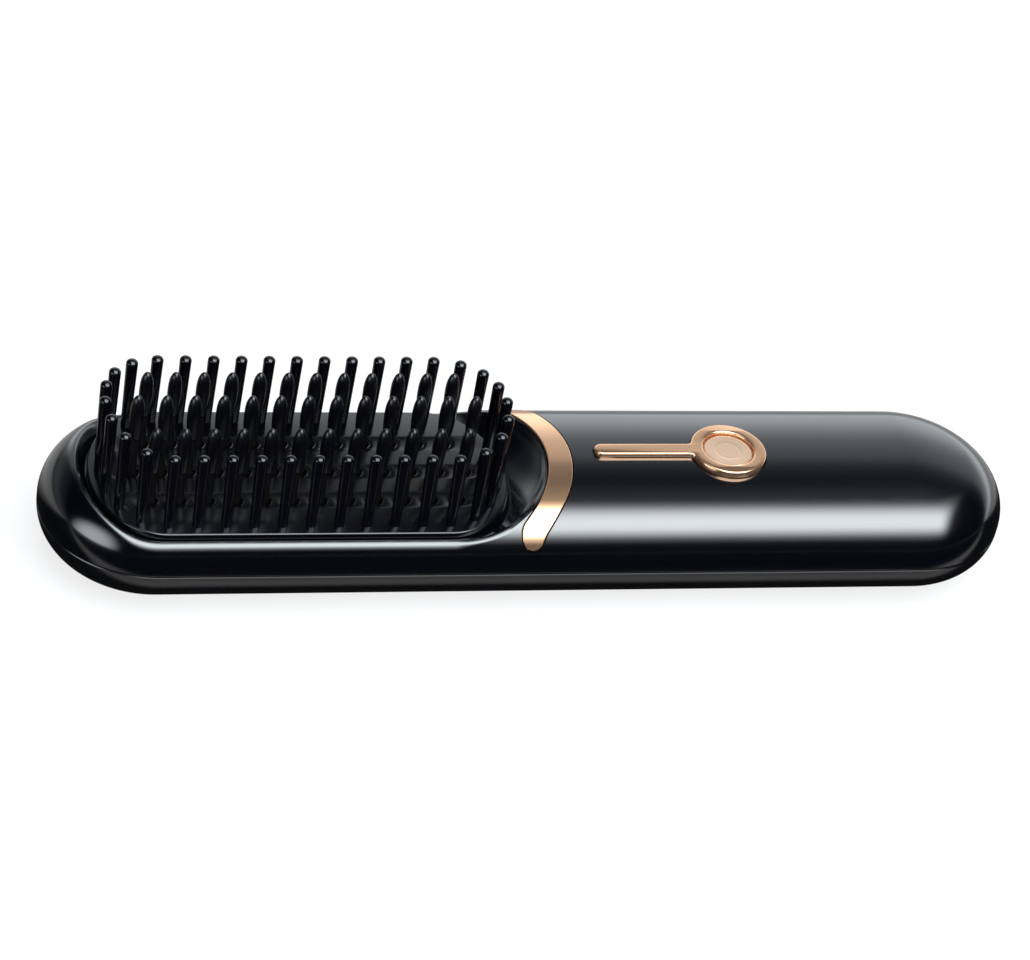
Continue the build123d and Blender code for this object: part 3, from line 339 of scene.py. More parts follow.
STEEL = Finish(
    "plated_steel", (0.58, 0.58, 0.6), (0.5, 0.5, 0.53), 0.28, 0.08, metallic=1.0, grain_scale=1200.0,
)
CERAMIC = Finish("ceramic", (0.75, 0.72, 0.66), (0.68, 0.65, 0.6), 0.7, 0.05, grain_depth=0.01)
FELT = Finish("felt", (0.6, 0.57, 0.5), (0.5, 0.47, 0.41), 0.95, 0.03, sheen=0.3, grain_depth=0.08)
CARRIER_NYLON = Finish(
    "carrier_nylon", (0.035, 0.035, 0.038), (0.05, 0.05, 0.052), 0.55, 0.08, grain_depth=0.01,
)
SENSOR_COAT = Finish("sensor_coat", (0.55, 0.48, 0.28), (0.48, 0.42, 0.25), 0.45, 0.05)
CELL_SLEEVE = Finish("cell_sleeve", (0.02, 0.13, 0.1), (0.025, 0.15, 0.12), 0.32, 0.05, grain_depth=0.005)
BOARD_RESIST = Finish("board_resist", (0.012, 0.07, 0.03), (0.016, 0.085, 0.038), 0.35, 0.06)
CHIP_MOULD = Finish("chip_mould", (0.015, 0.015, 0.016), (0.02, 0.02, 0.021), 0.6, 0.05)
FOAM = Finish("foam", (0.05, 0.05, 0.052), (0.035, 0.035, 0.037), 0.95, 0.03, grain_depth=0.06)

NODE_FINISHES = {
    "upper_housing": LACQUER, "lower_housing": LACQUER_LOWER, "trim_band": ROSE_GOLD,
    "button_bezel": ROSE_GOLD, "power_button": BUTTON_GOLD, "bristle_frame": COMB_NYLON,
    "head_seal": SEAL_RUBBER, "heating_plate": TOOTH_COAT, "plate_teeth": TOOTH_COAT,
    "tooth_caps": CAP_RESIN, "thermistor": SENSOR_COAT, "thermal_fuse": STEEL,
    "heater_element": CERAMIC, "heater_clamp": STEEL, "insulation_pad": FELT,
    "head_carrier": CARRIER_NYLON, "carrier_screws": STEEL, "battery_cells": CELL_SLEEVE,
    "cell_tabs": STEEL, "battery_pads": FOAM, "battery_holder": CARRIER_NYLON,
    "control_board": BOARD_RESIST, "board_components": CHIP_MOULD, "tact_switch": CHIP_MOULD,
    "charge_board": BOARD_RESIST, "board_screws": STEEL, "usb_c_socket": STEEL,
    "port_cover": COVER_RUBBER, "housing_screws": STEEL, "screw_plugs": PLUG_RUBBER,
}


class Wardrobe:
    """Builds each finish's material once and dresses pieces and CAD nodes with it."""

    def __init__(self) -> None:
        """Builds the shared groups and starts with no materials."""
        self.groups = ShaderGroups()
        self.made: dict[str, bpy.types.Material] = {}

    def material(self, finish: Finish) -> bpy.types.Material:
        """Gives the finish's material, built at its first use.

        Args:
            finish: The finish wanted.

        Returns:
            Its material.
        """
        if finish.name not in self.made:
            self.made[finish.name] = finish.build(self.groups)
        return self.made[finish.name]

    def dress(self, piece: bpy.types.Object, finish: Finish) -> None:
        """Gives a piece one finish all over."""
        piece.data.materials.clear()
        piece.data.materials.append(self.material(finish))

    def dress_nodes(self) -> None:
        """Dresses every CAD node."""
        for name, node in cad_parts.items():
            self.dress(node, NODE_FINISHES[name])


def add_piece(name: str, mesh: bpy.types.Mesh, body: Body, node: str) -> bpy.types.Object:
    """Links a finished mesh as a piece that rides on a body and stands for a CAD node.

    Args:
        name: The piece's name.
        mesh: Its mesh, already in place.
        body: The CAD body that it rides on.
        node: The CAD node that it replaces.

    Returns:
        The new object.
    """
    piece = bpy.data.objects.new(name, mesh)
    bpy.context.scene.collection.objects.link(piece)
    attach(piece, body.value)
    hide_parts(node)
    log.info("%s: %d faces on %s", name, len(mesh.polygons), body.value)
    return piece


# Body form


@dataclass(frozen=True)
class Flank:
    """Half of the body's cross-section above or below the parting line, in millimetres."""

    height: float
    straight: float
    side_radius: float
    half_width: float

    @property
    def side_centre(self) -> float:
        """Distance of the side arc's centre from the spine."""
        return self.half_width - self.side_radius

    @property
    def top_radius(self) -> float:
        """Radius of the flat arc over the middle."""
        rise = self.height - self.straight
        return (self.side_centre**2 + rise**2 - self.side_radius**2) / (2 * (rise - self.side_radius))

    @property
    def joint(self) -> float:
        """Angle above level at which the two arcs meet."""
        return math.atan2(self.straight - self.height + self.top_radius, self.side_centre)

    def top_point(self, angle: float) -> tuple[Point, Point]:
        """Gives the flat arc's point at an angle above level, and the outward direction there."""
        way, radius = (math.cos(angle), math.sin(angle)), self.top_radius
        return (radius * way[0], self.height - radius + radius * way[1]), way

    def side_point(self, angle: float) -> tuple[Point, Point]:
        """Gives the side arc's point at an angle above level, and the outward direction there."""
        way, radius = (math.cos(angle), math.sin(angle)), self.side_radius
        return (self.side_centre + radius * way[0], self.straight + radius * way[1]), way

    def rise(self, reach: float) -> float:
        """Gives the section's height over the parting line.

        Args:
            reach: Distance from the spine.

        Returns:
            The height.
        """
        if reach <= self.top_radius * math.cos(self.joint):
            return self.height - self.top_radius + math.sqrt(self.top_radius**2 - reach**2)
        across = max(0.0, self.side_radius**2 - (reach - self.side_centre) ** 2)
        return self.straight + math.sqrt(across)

    def nearest(self, reach: float, rise: float) -> tuple[Point, Point]:
        """Finds the section's point nearest to another.

        Args:
            reach: Distance from the spine.
            rise: Height over the parting line.

        Returns:
            The point and the outward direction there, each as reach and rise.
        """
        if rise <= self.straight:
            return (self.half_width, rise), (1.0, 0.0)
        angle = math.atan2(rise - self.height + self.top_radius, reach)
        if angle >= self.joint:
            return self.top_point(angle)
        return self.side_point(max(0.0, math.atan2(rise - self.straight, reach - self.side_centre)))

    def unrolled(self, reach: float) -> float:
        """Gives the length along the section from the middle of the top.

        Args:
            reach: Distance from the spine.

        Returns:
            The length.
        """
        if reach <= self.top_radius * math.cos(self.joint):
            return self.top_radius * math.asin(reach / self.top_radius)
        across = min(1.0, max(-1.0, (reach - self.side_centre) / self.side_radius))
        return self.top_radius * (QUARTER - self.joint) + self.side_radius * (self.joint - math.acos(across))

    def rolled(self, length: float) -> tuple[Point, Point]:
        """Gives the section's point at a length from the middle of the top.

        Args:
            length: The length along the section.

        Returns:
            The point and the outward direction there, each as reach and rise.
        """
        angle = QUARTER - length / self.top_radius
        if angle >= self.joint:
            return self.top_point(angle)
        over = length - self.top_radius * (QUARTER - self.joint)
        return self.side_point(self.joint - over / self.side_radius)


@dataclass(frozen=True)
class BodyForm:
    """Skin of the whole body: a straight middle with turned ends, in millimetres."""

    spine_end: float = 84.05
    half_width: float = 23.9
    parting: float = 12.0
    upper: Flank = Flank(14.0, 0.93, 11.8, 23.9)
    lower: Flank = Flank(15.4, 0.055, 10.4, 23.9)

    def spread(self, x: float, y: float) -> Triple:
        """Measures a plan point from the spine.

        Args:
            x: Its place along the body.
            y: Its place across it.

        Returns:
            The distance, and the unit direction from the spine to it.
        """
        along = x - min(self.spine_end, max(-self.spine_end, x))
        reach = math.hypot(along, y)
        return (reach, along / reach, y / reach) if reach > TINY else (0.0, 0.0, 1.0)

    def top(self, x: float, y: float) -> Vector:
        """Gives the skin's point over a plan point."""
        return Vector((x, y, self.parting + self.upper.rise(min(self.spread(x, y)[0], self.half_width))))

    def nearest(self, point: Vector) -> tuple[Vector, Vector]:
        """Finds the skin's nearest point.

        Args:
            point: Any point near the skin.

        Returns:
            The skin's point and its outward direction.
        """
        reach, along, across = self.spread(point.x, point.y)
        sign = 1 if point.z >= self.parting else -1
        flank = self.upper if sign > 0 else self.lower
        (near, rise), (way, climb) = flank.nearest(reach, abs(point.z - self.parting))
        base_x = point.x - along * reach
        spot = Vector((base_x + along * near, across * near, self.parting + sign * rise))
        return spot, Vector((along * way, across * way, sign * climb))

    def wrapped(self, x: float, length: float, lift: float) -> Vector:
        """Lays a point of the unrolled upper skin on the straight middle.

        Args:
            x: Its place along the body.
            length: Its signed length from the crown, over the flank.
            lift: Its height over the skin.

        Returns:
            The point in space.
        """
        sign = 1 if length >= 0 else -1
        (reach, rise), (way, climb) = self.upper.rolled(abs(length))
        return Vector((x, sign * (reach + lift * way), self.parting + rise + lift * climb))


BODY = BodyForm()


# Lines


def arc(centre: Point, reach: float, side: float, turns: Point, count: int) -> list[Point]:
    """Gives evenly turned points of a circle or an ellipse.

    Args:
        centre: Its centre.
        reach: Its half length.
        side: Its half width.
        turns: The angles of the first and the last point.
        count: Number of points.

    Returns:
        The points.
    """
    return [
        (centre[0] + reach * math.cos(turn), centre[1] + side * math.sin(turn))
        for turn in np.linspace(*turns, count)
    ]


def circle(centre: Point, radius: float, sides: int) -> list[Point]:
    """Gives the corners of a round outline."""
    return arc(centre, radius, radius, (0, 4 * QUARTER), sides + 1)[:-1]


def ring(centre: Point, radius: float, z: float, sides: int) -> list[Vector]:
    """Gives the corners of a level ring in space."""
    return [Vector((*spot, z)) for spot in circle(centre, radius, sides)]


def smoothed(outline: Sequence[Point], pitch: float, reach: int) -> np.ndarray:
    """Spaces an outline's corners evenly and rounds its kinks.

    Args:
        outline: The closed outline.
        pitch: Distance between the new corners.
        reach: Corners on each side that are averaged into each new one.

    Returns:
        The new corners, one row each.
    """
    corners = np.array([*outline, outline[0]])
    run = np.concatenate([[0.0], np.cumsum(np.hypot(*np.diff(corners, axis=0).T))])
    marks = np.linspace(0, run[-1], int(run[-1] / pitch), endpoint=False)
    even = np.stack([np.interp(marks, run, corners[:, axis]) for axis in (0, 1)], axis=1)
    return sum(np.roll(even, shift, axis=0) for shift in range(-reach, reach + 1)) / (2 * reach + 1)


def outline_distance(outline: np.ndarray, x: float, y: float) -> float:
    """Measures a point from a closed outline.

    Args:
        outline: The outline's corners, one row each.
        x: The point's first coordinate.
        y: Its second one.

    Returns:
        The distance, negative inside.
    """
    run = np.roll(outline, -1, axis=0) - outline
    away = np.array((x, y)) - outline
    share = np.clip((away * run).sum(1) / (run * run).sum(1), 0, 1)
    near = float(np.hypot(*(away - run * share[:, None]).T).min())
    spans = (outline[:, 1] > y) != (outline[:, 1] + run[:, 1] > y)
    slope = run[spans, 0] / run[spans, 1]
    crossings = int((x < outline[spans, 0] + slope * (y - outline[spans, 1])).sum())
    return -near if crossings % 2 else near


def turning_point(test: Callable[[float], bool], high: float = 1.0, rounds: int = 30) -> Point:
    """Closes in on the place above zero at which a test stops being true.

    Args:
        test: True at zero.
        high: The far end of the search.
        rounds: How often the span is halved.

    Returns:
        The last place found true and the first found false.
    """
    low = 0.0
    for _ in range(rounds):
        middle = (low + high) / 2
        low, high = (middle, high) if test(middle) else (low, middle)
    return low, high


# Mesh tools


def finished_mesh(
    name: str, bm: bmesh.types.BMesh, crease: float, skin: float | None = None
) -> bpy.types.Mesh:
    """Turns millimetre geometry into a smooth-shaded mesh in metres.

    Args:
        name: The mesh's name.
        bm: The geometry, which is freed.
        crease: Edges that turn by more degrees than this stay sharp.
        skin: Height over the body's skin at which faces are shaded by its exact direction, or None.

    Returns:
        The mesh.
    """
    level, facing = 0.004, 0.93
    bmesh.ops.remove_doubles(bm, verts=bm.verts, dist=MERGE)
    bmesh.ops.dissolve_degenerate(bm, edges=bm.edges, dist=MERGE / 10)
    bmesh.ops.recalc_face_normals(bm, faces=bm.faces)
    normals: list[Vector] = []
    if skin is not None:
        near = {vert: BODY.nearest(vert.co) for vert in bm.verts}
        on_skin = {vert: abs((spot - vert.co).length - skin) < level for vert, (spot, _) in near.items()}
        for face in bm.faces:
            ways = [near[vert][1] for vert in face.verts]
            whole = all(on_skin[vert] for vert in face.verts)
            whole = whole and all(way.dot(face.normal) > facing for way in ways)
            normals += ways if whole else [Vector((0, 0, 0))] * len(ways)
    bmesh.ops.scale(bm, vec=(MM, MM, MM), verts=bm.verts)
    mesh = bpy.data.meshes.new(name)
    bm.to_mesh(mesh)
    bm.free()
    mesh.shade_smooth()
    mesh.set_sharp_from_angle(angle=math.radians(crease))
    if skin is not None:
        mesh.normals_split_custom_set([tuple(n) for n in normals])
    return mesh


def applied(holder: bpy.types.Object) -> bpy.types.Mesh:
    """Turns an object with its curve settings or modifiers into a plain mesh.

    Args:
        holder: The object, not yet in the scene, which is removed with its data.

    Returns:
        The mesh.
    """
    bpy.context.scene.collection.objects.link(holder)
    evaluated = holder.evaluated_get(bpy.context.evaluated_depsgraph_get())
    mesh, data = bpy.data.meshes.new_from_object(evaluated), holder.data
    bpy.data.objects.remove(holder)
    (bpy.data.curves if isinstance(data, bpy.types.Curve) else bpy.data.meshes).remove(data)
    return mesh


def geometry_of(mesh: bpy.types.Mesh) -> bmesh.types.BMesh:
    """Takes a mesh's geometry and removes the mesh.

    Args:
        mesh: The mesh.

    Returns:
        Its geometry.
    """
    bm = bmesh.new()
    bm.from_mesh(mesh)
    bpy.data.meshes.remove(mesh)
    return bm


def loop_grid(bm: bmesh.types.BMesh, loops: Sequence[Sequence[Vector]]) -> None:
    """Joins closed loops of equal length with quads.

    Args:
        bm: The mesh that receives them.
        loops: The loops, in order.
    """
    rows = [[bm.verts.new(point) for point in loop] for loop in loops]
    for low, high in pairwise(rows):
        for step in range(len(low)):
            after = (step + 1) % len(low)
            bm.faces.new((low[step], low[after], high[after], high[step]))


def outline_plate(
    outlines: Sequence[Sequence[Point]], low: float, high: float, edge: float
) -> bmesh.types.BMesh:
    """Makes a flat plate with rounded edges from an outline and its holes.

    Args:
        outlines: The outer outline, then its holes, in millimetres.
        low: Height of its underside.
        high: Height of its top.
        edge: Radius of its edges.

    Returns:
        The plate's geometry.
    """
    curve = bpy.data.curves.new("outline", "CURVE")
    curve.dimensions, curve.fill_mode = "2D", "BOTH"
    curve.extrude, curve.bevel_depth = (high - low) / 2 - edge, edge
    curve.bevel_resolution, curve.offset = 2, -edge
    for outline in outlines:
        spline = curve.splines.new("POLY")
        spline.points.add(len(outline) - 1)
        for point, (x, y) in zip(spline.points, outline):
            point.co = (x, y, 0, 1)
        spline.use_cyclic_u = True
    bm = geometry_of(applied(bpy.data.objects.new("outline", curve)))
    bmesh.ops.remove_doubles(bm, verts=bm.verts, dist=MERGE)
    bmesh.ops.translate(bm, vec=(0, 0, (low + high) / 2), verts=bm.verts)
    return bm


def cut_strips(bm: bmesh.types.BMesh, way: Vector, reach: float, count: int) -> None:
    """Cuts a plate into equal strips, so that it can be bent.

    Args:
        bm: The plate.
        way: Direction across the strips.
        reach: Half of the length that the strips share out.
        count: Number of strips.
    """
    for step in range(1, count):
        at = way * (reach * (2 * step / count - 1))
        bmesh.ops.bisect_plane(bm, geom=[*bm.verts, *bm.edges, *bm.faces], plane_co=at, plane_no=way)


def refine(bm: bmesh.types.BMesh, edge_field: EdgeField) -> None:
    """Divides the skin's faces near a cut line and sets the new corners on the skin.

    Args:
        bm: The mesh.
        edge_field: Signed distance to the cut line.
    """
    rounds, reach, shortest, furthest = 2, 1.6, 0.35, 0.12
    for _ in range(rounds):
        near = {v for v in bm.verts if abs(edge_field(v.co)) < reach}
        edges = {e for f in bm.faces if any(v in near for v in f.verts) for e in f.edges}
        edges = [e for e in edges if e.calc_length() > shortest]
        made = bmesh.ops.subdivide_edges(bm, edges=edges, cuts=1, use_grid_fill=True)
        for item in made["geom_inner"]:
            if isinstance(item, bmesh.types.BMVert):
                spot = BODY.nearest(item.co)[0]
                if (spot - item.co).length < furthest:
                    item.co = spot


def carve(bm: bmesh.types.BMesh, edge_field: EdgeField, sink: Callable[[Vector], Vector]) -> None:
    """Cuts away the surface where a field is negative and sinks a wall from the cut edge.

    Args:
        bm: The mesh.
        edge_field: Signed distance to the cut line, negative inside.
        sink: Gives the wall's lower point below a point of the edge.
    """
    value = {vert: edge_field(vert.co) for vert in bm.verts}
    cuts = set()
    for edge in list(bm.edges):
        first, last = edge.verts
        inside = value[first] < 0
        if inside == (value[last] < 0):
            continue
        share = turning_point(lambda t: (edge_field(first.co.lerp(last.co, t)) < 0) == inside, rounds=24)[1]
        vert = bmesh.utils.edge_split(edge, first, share)[1]
        value[vert] = 0.0
        cuts.add(vert)
    for face in list(bm.faces):
        marks = [v for v in face.verts if v in cuts]
        if len(marks) > 2:
            bmesh.ops.connect_verts(bm, verts=marks)
        elif len(marks) == 2:
            own = [e for e in marks[0].link_edges if face in e.link_faces]
            if not any(marks[1] in e.verts for e in own):
                bmesh.utils.face_split(face, *marks)
    waste = [f for f in bm.faces if min(value[v] for v in f.verts) < -TINY]
    bmesh.ops.delete(bm, geom=waste, context="FACES")
    rims = [e for e in bm.edges if len(e.link_faces) == 1 and all(v in cuts for v in e.verts)]
    for item in bmesh.ops.extrude_edge_only(bm, edges=rims)["geom"]:
        if isinstance(item, bmesh.types.BMVert):
            item.co = sink(item.co)


def thickened(bm: bmesh.types.BMesh, wall: float) -> bmesh.types.BMesh:
    """Gives an open surface a wall on its inner side.

    Args:
        bm: The surface, which is freed.
        wall: The wall's thickness.

    Returns:
        The closed shell.
    """
    mesh = bpy.data.meshes.new("shell")
    bm.to_mesh(mesh)
    bm.free()
    holder = bpy.data.objects.new("shell", mesh)
    solid = holder.modifiers.new("wall", "SOLIDIFY")
    solid.thickness, solid.offset, solid.use_even_offset, solid.thickness_clamp = wall, -1, True, 1.0
    return geometry_of(applied(holder))


# Housings


@dataclass(frozen=True)
class Band:
    """The trim band's outline over the neck, in millimetres."""

    outer_x: float = -23.9
    outer_radius: float = 30.2
    inner_x: float = -26.5
    inner_radius: float = 27.5
    end_x: float = -5.2
    end_z: float = 19.9
    end_radius: float = 2.4
    proud: float = 0.12
    depth: float = 1.05
    gap: float = 0.24
    edge: float = 0.2
    near: Point = (-12.5, 9.3)
    arc_steps: int = 40
    end_steps: int = 24
    pitch: float = 0.3
    rounding: int = 4
    strips: int = 110

    def field(self, point: Vector) -> float:
        """Measures a point from the edge of the band's slot.

        Args:
            point: A point on the skin.

        Returns:
            The signed distance, negative inside.
        """
        if not self.near[0] < point.x < self.near[1] or point.z < BODY.parting:
            return FAR
        reach = min(abs(point.y), BODY.half_width)
        return outline_distance(self.rounded, point.x, BODY.upper.unrolled(reach)) - self.gap

    def sunk(self, point: Vector) -> Vector:
        """Gives the slot's floor under a point of its edge."""
        return point - BODY.nearest(point)[1] * self.depth

    @cached_property
    def rounded(self) -> np.ndarray:
        """The outline with its kinks rounded."""
        return smoothed(self.outline(), self.pitch, self.rounding)

    def outline(self) -> list[Point]:
        """Gives the outline on the unrolled skin.

        Returns:
            The corners, each as place along the body and length from the crown.
        """
        flank, end = BODY.upper, self.end_radius
        outer_end = math.sqrt(self.outer_radius**2 - (self.end_x + end - self.outer_x) ** 2)
        inner_end = math.sqrt(self.inner_radius**2 - (self.end_x - end - self.inner_x) ** 2)
        side = []
        for step in range(self.arc_steps):
            y = outer_end * step / self.arc_steps
            side.append((self.outer_x + math.sqrt(self.outer_radius**2 - y**2), flank.unrolled(y)))
        for x, z in arc((self.end_x, self.end_z), end, end, (0, -math.pi), self.end_steps + 1):
            rise = z - BODY.parting - flank.straight
            side.append((x, flank.unrolled(flank.side_centre + math.sqrt(flank.side_radius**2 - rise**2))))
        for step in range(self.arc_steps + 1):
            y = inner_end * (1 - step / self.arc_steps)
            side.append((self.inner_x + math.sqrt(self.inner_radius**2 - y**2), flank.unrolled(y)))
        return side + [(x, -length) for x, length in reversed(side[1:-1])]

    def mesh(self) -> bpy.types.Mesh:
        """Builds the band: its plate cut into narrow strips and wrapped over the neck.

        Returns:
            The finished mesh.
        """
        bm = outline_plate([self.rounded.tolist()], -self.depth, self.proud, self.edge)
        cut_strips(bm, Vector((0, 1, 0)), max(vert.co.y for vert in bm.verts), self.strips)
        for vert in bm.verts:
            vert.co = BODY.wrapped(*vert.co)
        return finished_mesh("trim_band", bm, 50, self.proud)


@dataclass(frozen=True)
class Bezel:
    """The ring and bar round the power button, in millimetres."""

    centre: float = 42.1
    radius: float = 8.44
    hole: float = 5.76
    hole_sides: int = 72
    bar_end: float = 11.6
    bar_half_width: float = 1.8
    top: float = 27.1
    under: float = 25.0
    recess: float = 24.5
    gap: float = 0.26
    edge: float = 0.38
    flare: float = 0.33
    flare_foot: float = 1.1

    def field(self, point: Vector) -> float:
        """Measures a point from the edge of the bezel's recess.

        Args:
            point: A point on the skin.

        Returns:
            The signed distance, negative inside.
        """
        around = math.hypot(point.x - self.centre, point.y) - self.radius - self.gap
        along = point.x - max(self.bar_end + self.bar_half_width, min(self.centre, point.x))
        bar = math.hypot(along, point.y) - self.bar_half_width - self.gap
        return min(around, bar)

    def sunk(self, point: Vector) -> Vector:
        """Gives the recess's floor under a point of its edge."""
        return Vector((point.x, point.y, self.recess))

    def outline(self) -> list[Point]:
        """Gives the outline of ring and bar, with a small flare where they meet.

        Returns:
            The corners.
        """
        half, start = self.bar_half_width, math.pi - self.flare
        points = arc((self.centre, 0), self.radius, self.radius, (-start, start), 90)
        corner = (self.centre - math.sqrt(self.radius**2 - half**2), half)
        ends = list(zip(points[-1], corner, (corner[0] - self.flare_foot, half)))
        flare = [
            tuple((1 - t) ** 2 * a + 2 * t * (1 - t) * b + t * t * c for a, b, c in ends)
            for t in (0.25, 0.5, 0.75, 1.0)
        ]
        tip = arc((self.bar_end + half, 0), half, half, (QUARTER, 3 * QUARTER), 25)
        return [*points, *flare, *tip, *((x, -y) for x, y in reversed(flare))]

    def mesh(self) -> bpy.types.Mesh:
        """Builds the bezel with its rounded edges."""
        outlines = [self.outline(), circle((self.centre, 0), self.hole, self.hole_sides)]
        return finished_mesh("button_bezel", outline_plate(outlines, self.under, self.top, self.edge), 50)


@dataclass(frozen=True)
class PortPocket:
    """The pocket for the port cover in the handle's end, in millimetres."""

    half_width: float = 8.05
    half_height: float = 3.45
    corner: float = 2.75
    depth: float = 1.35
    near_x: float = 95.0

    def field(self, point: Vector) -> float:
        """Measures a point from the pocket's edge.

        Args:
            point: A point on the skin.

        Returns:
            The signed distance, negative inside.
        """
        if point.x < self.near_x:
            return self.near_x - point.x + self.corner
        across = abs(point.y) - self.half_width + self.corner
        up = abs(point.z - BODY.parting) - self.half_height + self.corner
        return math.hypot(max(across, 0), max(up, 0)) + min(max(across, up), 0) - self.corner

    def sunk(self, point: Vector) -> Vector:
        """Gives the pocket's back behind a point of its edge."""
        return Vector((point.x - self.depth, point.y, point.z))


@dataclass(frozen=True)
class Spoke:
    """A line of the upper shell's grid, from the comb's opening out to the body's outline."""

    centre: float
    cosine: float
    sine: float
    outline: Point

    @classmethod
    def turned(cls, centre: float, turn: float, outline: Point) -> "Spoke":
        """Makes a spoke at a turn in degrees about the end of the comb's rows."""
        return cls(centre, math.cos(math.radians(turn)), math.sin(math.radians(turn)), outline)

    def place(self, reach: float, side: float, z: float) -> Vector:
        """Gives the spoke's point on an oval of a half length and half width round the comb."""
        return Vector((self.centre + reach * self.cosine, side * self.sine, z))


@dataclass
class UpperHousing:
    """The moulded shell with the comb's dish, in millimetres."""

    row_start: float = -82.7
    row_end: float = -22.7
    opening_reach: float = 15.5
    opening_half_width: float = 20.9
    ledge: float = 1.8
    ledge_z: float = 18.1
    dish_z: float = 19.3
    rungs: tuple[Four, ...] = (
        (0.0, 0.0, 0.0, 0.0), (1.4, 0.9, 2.6, 1.2), (3.6, 1.9, 5.8, 2.8), (7.3, 2.8, 8.2, 4.6),
    )
    rung_places: tuple[float, ...] = (0.0, 0.22, 0.55, 1.0)
    side_power: int = 5
    wall: float = 0.8
    lower_edge: tuple[Point, ...] = ((0.0, 0.3), (0.03, 0.14), (0.11, 0.03), (0.22, 0.0))
    inner_round: Point = (0.3, 1.2)
    outer_round: Point = (0.1, 2.0)
    round_share: float = 0.85
    band_room: float = 0.5
    side_steps: int = 50
    tip_steps: int = 60
    handle_steps: int = 130
    dish_steps: int = 8
    rim_steps: int = 8
    skin_steps: int = 44
    band: Band = field(default_factory=Band)
    bezel: Bezel = field(default_factory=Bezel)
    pocket: PortPocket = field(default_factory=PortPocket)

    def _rung(self, level: float) -> np.ndarray:
        """Reads the dish's form at a level, on one cubic through the rungs.

        Args:
            level: 0 at the dish's foot and 1 at its brim.

        Returns:
            The rise and the runs at the tip, at the handle and at the sides.
        """
        total = np.zeros(4)
        for place, rung in zip(self.rung_places, self.rungs):
            others = [other for other in self.rung_places if other != place]
            total += math.prod((level - other) / (place - other) for other in others) * np.array(rung)
        return total

    def _side_spokes(self, start: float, stop: float, sine: float) -> list[Spoke]:
        """Lists the spokes of a straight side.

        Args:
            start: Where they start along the comb.
            stop: Where they stop.
            sine: 1 on the far side and -1 on the near one.

        Returns:
            The spokes.
        """
        stretch = (-BODY.spine_end - self.row_end) / (self.row_start - self.row_end)
        return [
            Spoke(x, 0.0, sine, (self.row_end + (x - self.row_end) * stretch, sine * BODY.half_width))
            for x in np.linspace(start, stop, self.side_steps, endpoint=False)
        ]

    def _spokes(self) -> list[Spoke]:
        """Lists the spokes round the opening: handle, far side, tip and near side.

        Returns:
            The spokes.
        """
        half, end = BODY.half_width, BODY.spine_end
        quarter = QUARTER * half
        flank = end - self.row_end + quarter
        handle = []
        for turn in np.linspace(-90, 90, self.handle_steps, endpoint=False):
            run, sign = abs(turn) / 90 * flank, 1 if turn >= 0 else -1
            spot = (end - (run - quarter), sign * half)
            if run < quarter:
                spot = (end + half * math.cos(run / half), sign * half * math.sin(run / half))
            handle.append(Spoke.turned(self.row_end, turn, spot))
        tip = []
        for turn in np.linspace(90, 270, self.tip_steps, endpoint=False):
            way = math.radians(turn)
            tip.append(Spoke.turned(self.row_start, turn, (half * math.cos(way) - end, half * math.sin(way))))
        far = self._side_spokes(self.row_end, self.row_start, 1.0)
        near = self._side_spokes(self.row_start, self.row_end, -1.0)
        return handle + far + tip + near

    def _dish(self, spoke: Spoke, level: float) -> Vector:
        """Gives the dish wall's point on a spoke.

        Args:
            spoke: The spoke.
            level: 0 at the wall's foot and 1 at its brim.

        Returns:
            The point.
        """
        rise, tip_run, handle_run, side_run = self._rung(level)
        reach = self.opening_reach + (handle_run if spoke.cosine > 0 else tip_run)
        z = self.dish_z + rise * (1 - abs(spoke.sine) ** self.side_power)
        return spoke.place(reach, self.opening_half_width + side_run, z)

    @staticmethod
    def _skin(rim: Vector, end: Vector, share: float) -> Vector:
        """Gives the skin's point over a share of the way from the rim to the outline."""
        return BODY.top(*rim.lerp(end, share).xy)

    def _spoke_points(self, spoke: Spoke) -> list[Vector]:
        """Places the points of one spoke, from the ledge over the rim to the parting line.

        Args:
            spoke: The spoke.

        Returns:
            The points in order.
        """
        dish = partial(self._dish, spoke)
        rim_level = turning_point(lambda level: dish(level).z < BODY.top(*dish(level).xy).z)[0]
        rim = dish(rim_level)
        skin = partial(self._skin, rim, Vector((*spoke.outline, 0)))
        room = turning_point(lambda run: self.band.field(skin(run)) > 0, self.band_room)[0]
        clear = (skin(room) - rim).length * self.round_share
        outer = min(self.outer_round[1], max(self.outer_round[0], clear))
        depth = self.round_share * (rim - dish(0)).length
        inner = min(self.inner_round[1], max(self.inner_round[0], outer), depth)
        dish_end = turning_point(lambda level: (rim - dish(level)).length > inner, rim_level)[0]
        skin_start = turning_point(lambda share: (skin(share) - rim).length < outer)[0]
        start, finish = dish(dish_end), skin(skin_start)
        points = [
            spoke.place(self.opening_reach - inset, self.opening_half_width - inset, self.ledge_z)
            for inset in (self.ledge, 0)
        ]
        points += [dish(dish_end * step / self.dish_steps) for step in range(self.dish_steps)]
        points += [
            start * (1 - t) ** 2 + rim * 2 * t * (1 - t) + finish * t * t
            for t in np.linspace(0, 1, self.rim_steps + 1)
        ]
        for step in range(1, self.skin_steps + 1):
            share = 1 - (1 - step / self.skin_steps) ** 2
            points.append(skin(skin_start + (1 - skin_start) * share))
        x, y = spoke.outline
        _, along, across = BODY.spread(x, y)
        points += [
            Vector((x - inset * along, y - inset * across, BODY.parting + rise))
            for inset, rise in self.lower_edge
        ]
        return points

